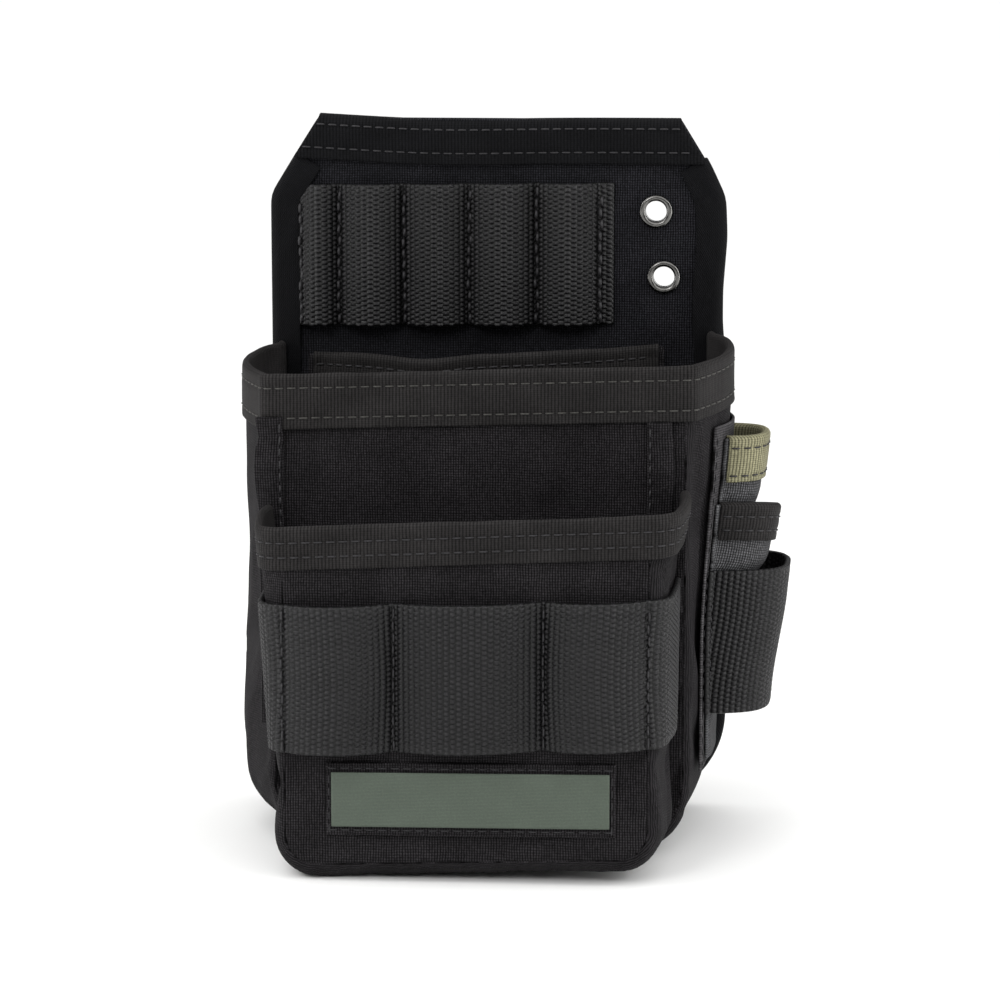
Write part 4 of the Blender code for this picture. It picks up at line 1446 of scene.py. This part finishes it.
class POUCH_OT_tool_webbing(PieceOperator, bpy.types.Operator):
    """Webbing round the front pocket, sewn at its corners and twice across the front"""

    bl_idname = "pouch.tool_webbing"
    bl_label = "Tool webbing"

    def make(self):
        line = domed(TOOL_SEAMS, TOOL_DOMES)
        xs = [x for x, _ in line[1:-1]]
        rises = [rise for _, rise in line[1:-1]]
        around = len(POCKET.columns)
        away = 0.5 + GAP + self.webbing / 2 + np.array([0.0] * around + rises + [0.0] * around)
        grid = []
        for share in np.linspace(0, 1, 12):
            plan = POCKET.plan(TOOL_MIDDLE + self.width * (share - 0.5), xs)
            out = offsets(plan)
            row = []
            for n, (x, y) in enumerate(plan):
                low = TOOL_MIDDLE + TOOL_TILT * x + self.width * (share - 0.5)
                sag = 0.7 * math.sin(math.pi * share) * (1 if away[n] > 3 else 0)
                row.append((x + out[n][0] * away[n], y + out[n][1] * (away[n] + sag), low))
            grid.append(row)
        grid = even(grid, 0.42, 0.35)
        made, face = shell(
            "pocket_webbing",
            grid,
            self.webbing,
            self.finishes["black_webbing"],
            knuckles(self.sizes, self.width),
        )
        place(made, "black_webbing", "front_tool_webbing", moves=True)
        rows = []
        front = face[0][len(face[0]) // 2]
        for seam in TOOL_SEAMS:
            near = np.abs(front[:, 0] - seam) + np.maximum(front[:, 1] + 74, 0) * 3
            column = int(np.argmin(near))
            out = np.tile((0.0, -1.0, 0.0), (len(face[0]), 1))
            rows.append((face[0][:, column] + (0.0, -0.4, 0.0), out))
        made = stitches(
            "pocket_webbing_stitches",
            rows,
            self.finishes["black_thread"],
            self.sizes,
            bold=1.3,
            reach=0.8,
            sway=0.5,
        )
        place(made, "black_webbing", moves=True)


class POUCH_OT_label(PieceOperator, bpy.types.Operator):
    """A plain woven label on a stitched patch of cloth"""

    bl_idname = "pouch.label"
    bl_label = "Label"

    def make(self):
        rest = POCKET.front - 0.5 - GAP
        faces = {}
        for name, size, away, thickness, finish in (
            ("label_patch", LABEL_BASE, 0.4, 0.8, BLACK_CLOTH),
            ("label", LABEL_SIZE, 0.8 + GAP + 0.3, 0.6, "woven_label"),
        ):
            grid = []
            for up in np.linspace(-0.5, 0.5, 24):
                line = []
                for along in np.linspace(-0.5, 0.5, 90):
                    x, z = along * size[0], LABEL_MIDDLE + up * size[1] + 0.012 * along * size[0]
                    line.append((x, rest - away, z))
                grid.append(line)
            grid = rumple(np.array(grid), 0.3, 30.0, 51.0, hold=1.0)
            made, faces[name] = shell(name + "_cloth", grid, thickness, self.finishes[finish])
            stands_for = "label_backing" if name == "label_patch" else "woven_label"
            place(made, finish, stands_for, moves=True)
        patch = faces["label_patch"]
        rows = [line_up(patch, 1.6), line_up(patch, -1.6), line_across(patch, 1.0)]
        rows.append(line_across(patch, -1.0))
        made = stitches("label_stitches", rows, self.finishes["black_thread"], self.sizes, 0.8)
        place(made, BLACK_CLOTH, moves=True)


class POUCH_OT_side_pockets(PieceOperator, bpy.types.Operator):
    """The grey panel on the right with its two pockets and its webbing loop"""

    bl_idname = "pouch.side_pockets"
    bl_label = "Side pockets"

    def make(self):
        grey = self.finishes[GREY_CLOTH]
        black = self.finishes["black_thread"]
        front, back, low, high = SIDE_BACKING
        grid = []
        for z in np.linspace(low, high, 50):
            ys = np.linspace(front, back, 24)
            grid.append([(right_wall(y, z) + 0.55 + self.cloth / 2, y, z) for y in ys])
        finish = self.finishes["backing_cloth"]
        made, face = shell("side_backing", np.array(grid), self.cloth, finish)
        place(made, GREY_CLOTH, "side_backing_panel")
        lines = [line_across(face, 1.3), line_across(face, -1.3), line_up(face, 1.5)]

        grid = even(side_grid(SIDE_TALL, tall_depth, self.cloth), 1.6, 1.8)
        made, _ = shell("tall_pocket", rumple(grid, 0.4, 16.0, 61.0), self.cloth, grey)
        place(made, GREY_CLOTH, "side_tall_pocket")
        grid = side_rim(SIDE_TALL, tall_depth, TALL_BINDING, self.cloth, self.tape)
        made, face = shell(
            "tall_pocket_tape",
            even(grid, 0.9, 0.7),
            self.tape,
            self.finishes["khaki_grosgrain"],
            grooves([2.0, 12.0], 0.35),
        )
        place(made, "khaki_grosgrain", "side_tall_pocket_binding")
        lines += [line_up(face, 2.0), line_up(face, 12.0)]

        slope = SHORT_RIM_SLOPE
        grid = even(side_grid(SIDE_SHORT, short_depth, self.cloth, slope), 1.6, 1.8)
        made, _ = shell("short_pocket", rumple(grid, 0.4, 16.0, 67.0), self.cloth, grey)
        place(made, GREY_CLOTH, "side_short_pocket")
        grid = side_rim(SIDE_SHORT, short_depth, SHORT_BINDING, self.cloth, self.tape, slope)
        made, face = shell(
            "short_pocket_tape",
            even(grid, 0.9, 0.7),
            self.tape,
            self.finishes["charcoal_grosgrain"],
            grooves([3.4, 8.4], 0.35),
        )
        place(made, "charcoal_grosgrain", "side_short_pocket_binding")
        lines += [line_up(face, 3.4), line_up(face, 8.4)]

        grid = even(side_grid(SIDE_LOOP, loop_depth, self.webbing), 0.42, 0.35)
        made, face = shell(
            "side_loop",
            grid,
            self.webbing,
            self.finishes["black_webbing"],
            knuckles(self.sizes, self.width),
        )
        place(made, "black_webbing", "side_loop_webbing")
        lines += [line_across(face, 1.4), line_across(face, -1.4)]
        made = stitches("side_pocket_stitches", lines, black, self.sizes, 1.0)
        place(made, GREY_CLOTH)


class POUCH_OT_stage(bpy.types.Operator):
    """The floor, the soft lights and the camera"""

    bl_idname = "pouch.stage"
    bl_label = "Stage"

    def execute(self, context):
        scene = context.scene
        base = scene.pouch_colours.floor
        far = 60000
        points = [(-far, -far, 0), (far, -far, 0), (far, far, 0), (-far, far, 0)]
        paint = painted_floor("floor_paint_matt", base)
        floor = make_object("floor", points, [(0, 1, 2, 3)], paint)

        world = bpy.data.worlds.new("studio")
        scene.world = world
        world.use_nodes = True
        tree = world.node_tree
        backdrop = tree.nodes["Background"]
        backdrop.inputs["Color"].default_value = (1.0, 1.0, 1.0, 1.0)
        backdrop.inputs["Strength"].default_value = 1.0
        room = node(tree, "ShaderNodeBackground", inputs={"Strength": 0.18})
        room.inputs["Color"].default_value = (1.0, 1.0, 1.0, 1.0)
        seen = node(tree, "ShaderNodeLightPath").outputs["Is Camera Ray"]
        chosen = node(
            tree,
            "ShaderNodeMixShader",
            inputs={0: seen, 1: room.outputs[0], 2: backdrop.outputs[0]},
        )
        tree.links.new(chosen.outputs[0], tree.nodes["World Output"].inputs["Surface"])

        sky = bpy.data.lights.new("overhead", "SUN")
        sky.energy = 3.25
        sky.angle = math.radians(110)
        held = bpy.data.objects.new("overhead", sky)
        held.rotation_euler = (math.radians(12), 0.0, 0.0)
        scene.collection.objects.link(held)

        for name, spot, size, power in (
            ("left_strip", (-800, -160, 330), (0.25, 0.9), 4.0),
            ("right_strip", (850, -120, 330), (0.25, 0.9), 5.5),
            ("front", (-500, -1100, 900), (0.4, 0.4), 4.0),
        ):
            lamp = bpy.data.lights.new(name, "AREA")
            lamp.shape = "RECTANGLE"
            lamp.size, lamp.size_y = size
            lamp.energy = power
            held = bpy.data.objects.new(name, lamp)
            held.location = Vector(spot) * METRES
            aim = Vector(AIM) * METRES - held.location
            held.rotation_euler = aim.to_track_quat("-Z", "Y").to_euler()
            scene.collection.objects.link(held)

        camera = bpy.data.cameras.new("camera")
        camera.lens = LENS
        camera.sensor_width = 36.0
        camera.clip_end = 50.0
        held = bpy.data.objects.new("camera", camera)
        turn, rise = math.radians(AZIMUTH), math.radians(ELEVATION)
        back = Vector(
            (math.sin(turn) * math.cos(rise), -math.cos(turn) * math.cos(rise), math.sin(rise))
        )
        held.location = (Vector(AIM) + back * DISTANCE) * METRES
        held.rotation_euler = (-back).to_track_quat("-Z", "Y").to_euler()
        scene.collection.objects.link(held)
        scene.camera = held
        scene.view_settings.view_transform = "Standard"
        return {"FINISHED"}


class POUCH_PT_panel(bpy.types.Panel):
    """Lists the pouch's sizes, colours and pieces"""

    bl_label = "Belt pouch"
    bl_idname = "POUCH_PT_panel"
    bl_space_type = "VIEW_3D"
    bl_region_type = "UI"
    bl_category = "Pouch"

    def draw(self, context):
        for group in (context.scene.pouch_sizes, context.scene.pouch_colours):
            box = self.layout.box()
            for name in group.bl_rna.properties.keys():
                if name not in ("rna_type", "name"):
                    box.prop(group, name)
        for operator in OPERATORS:
            self.layout.operator(operator.bl_idname)


OPERATORS = (
    POUCH_OT_stage,
    POUCH_OT_back_panel,
    POUCH_OT_back_bindings,
    POUCH_OT_driver_loops,
    POUCH_OT_eyelets,
    POUCH_OT_belt_tunnel,
    POUCH_OT_main_compartment,
    POUCH_OT_inner_pocket,
    POUCH_OT_front_pocket,
    POUCH_OT_tool_webbing,
    POUCH_OT_label,
    POUCH_OT_side_pockets,
)
CLASSES = (PouchSizes, PouchColours, *OPERATORS, POUCH_PT_panel)


def register():
    for item in CLASSES:
        bpy.utils.register_class(item)
    bpy.types.Scene.pouch_sizes = bpy.props.PointerProperty(type=PouchSizes)
    bpy.types.Scene.pouch_colours = bpy.props.PointerProperty(type=PouchColours)


def unregister():
    del bpy.types.Scene.pouch_colours
    del bpy.types.Scene.pouch_sizes
    for item in reversed(CLASSES):
        bpy.utils.unregister_class(item)


def main():
    register()
    for operator in OPERATORS:
        group, name = operator.bl_idname.split(".")
        getattr(getattr(bpy.ops, group), name)()


if __name__ == "__main__":
    main()
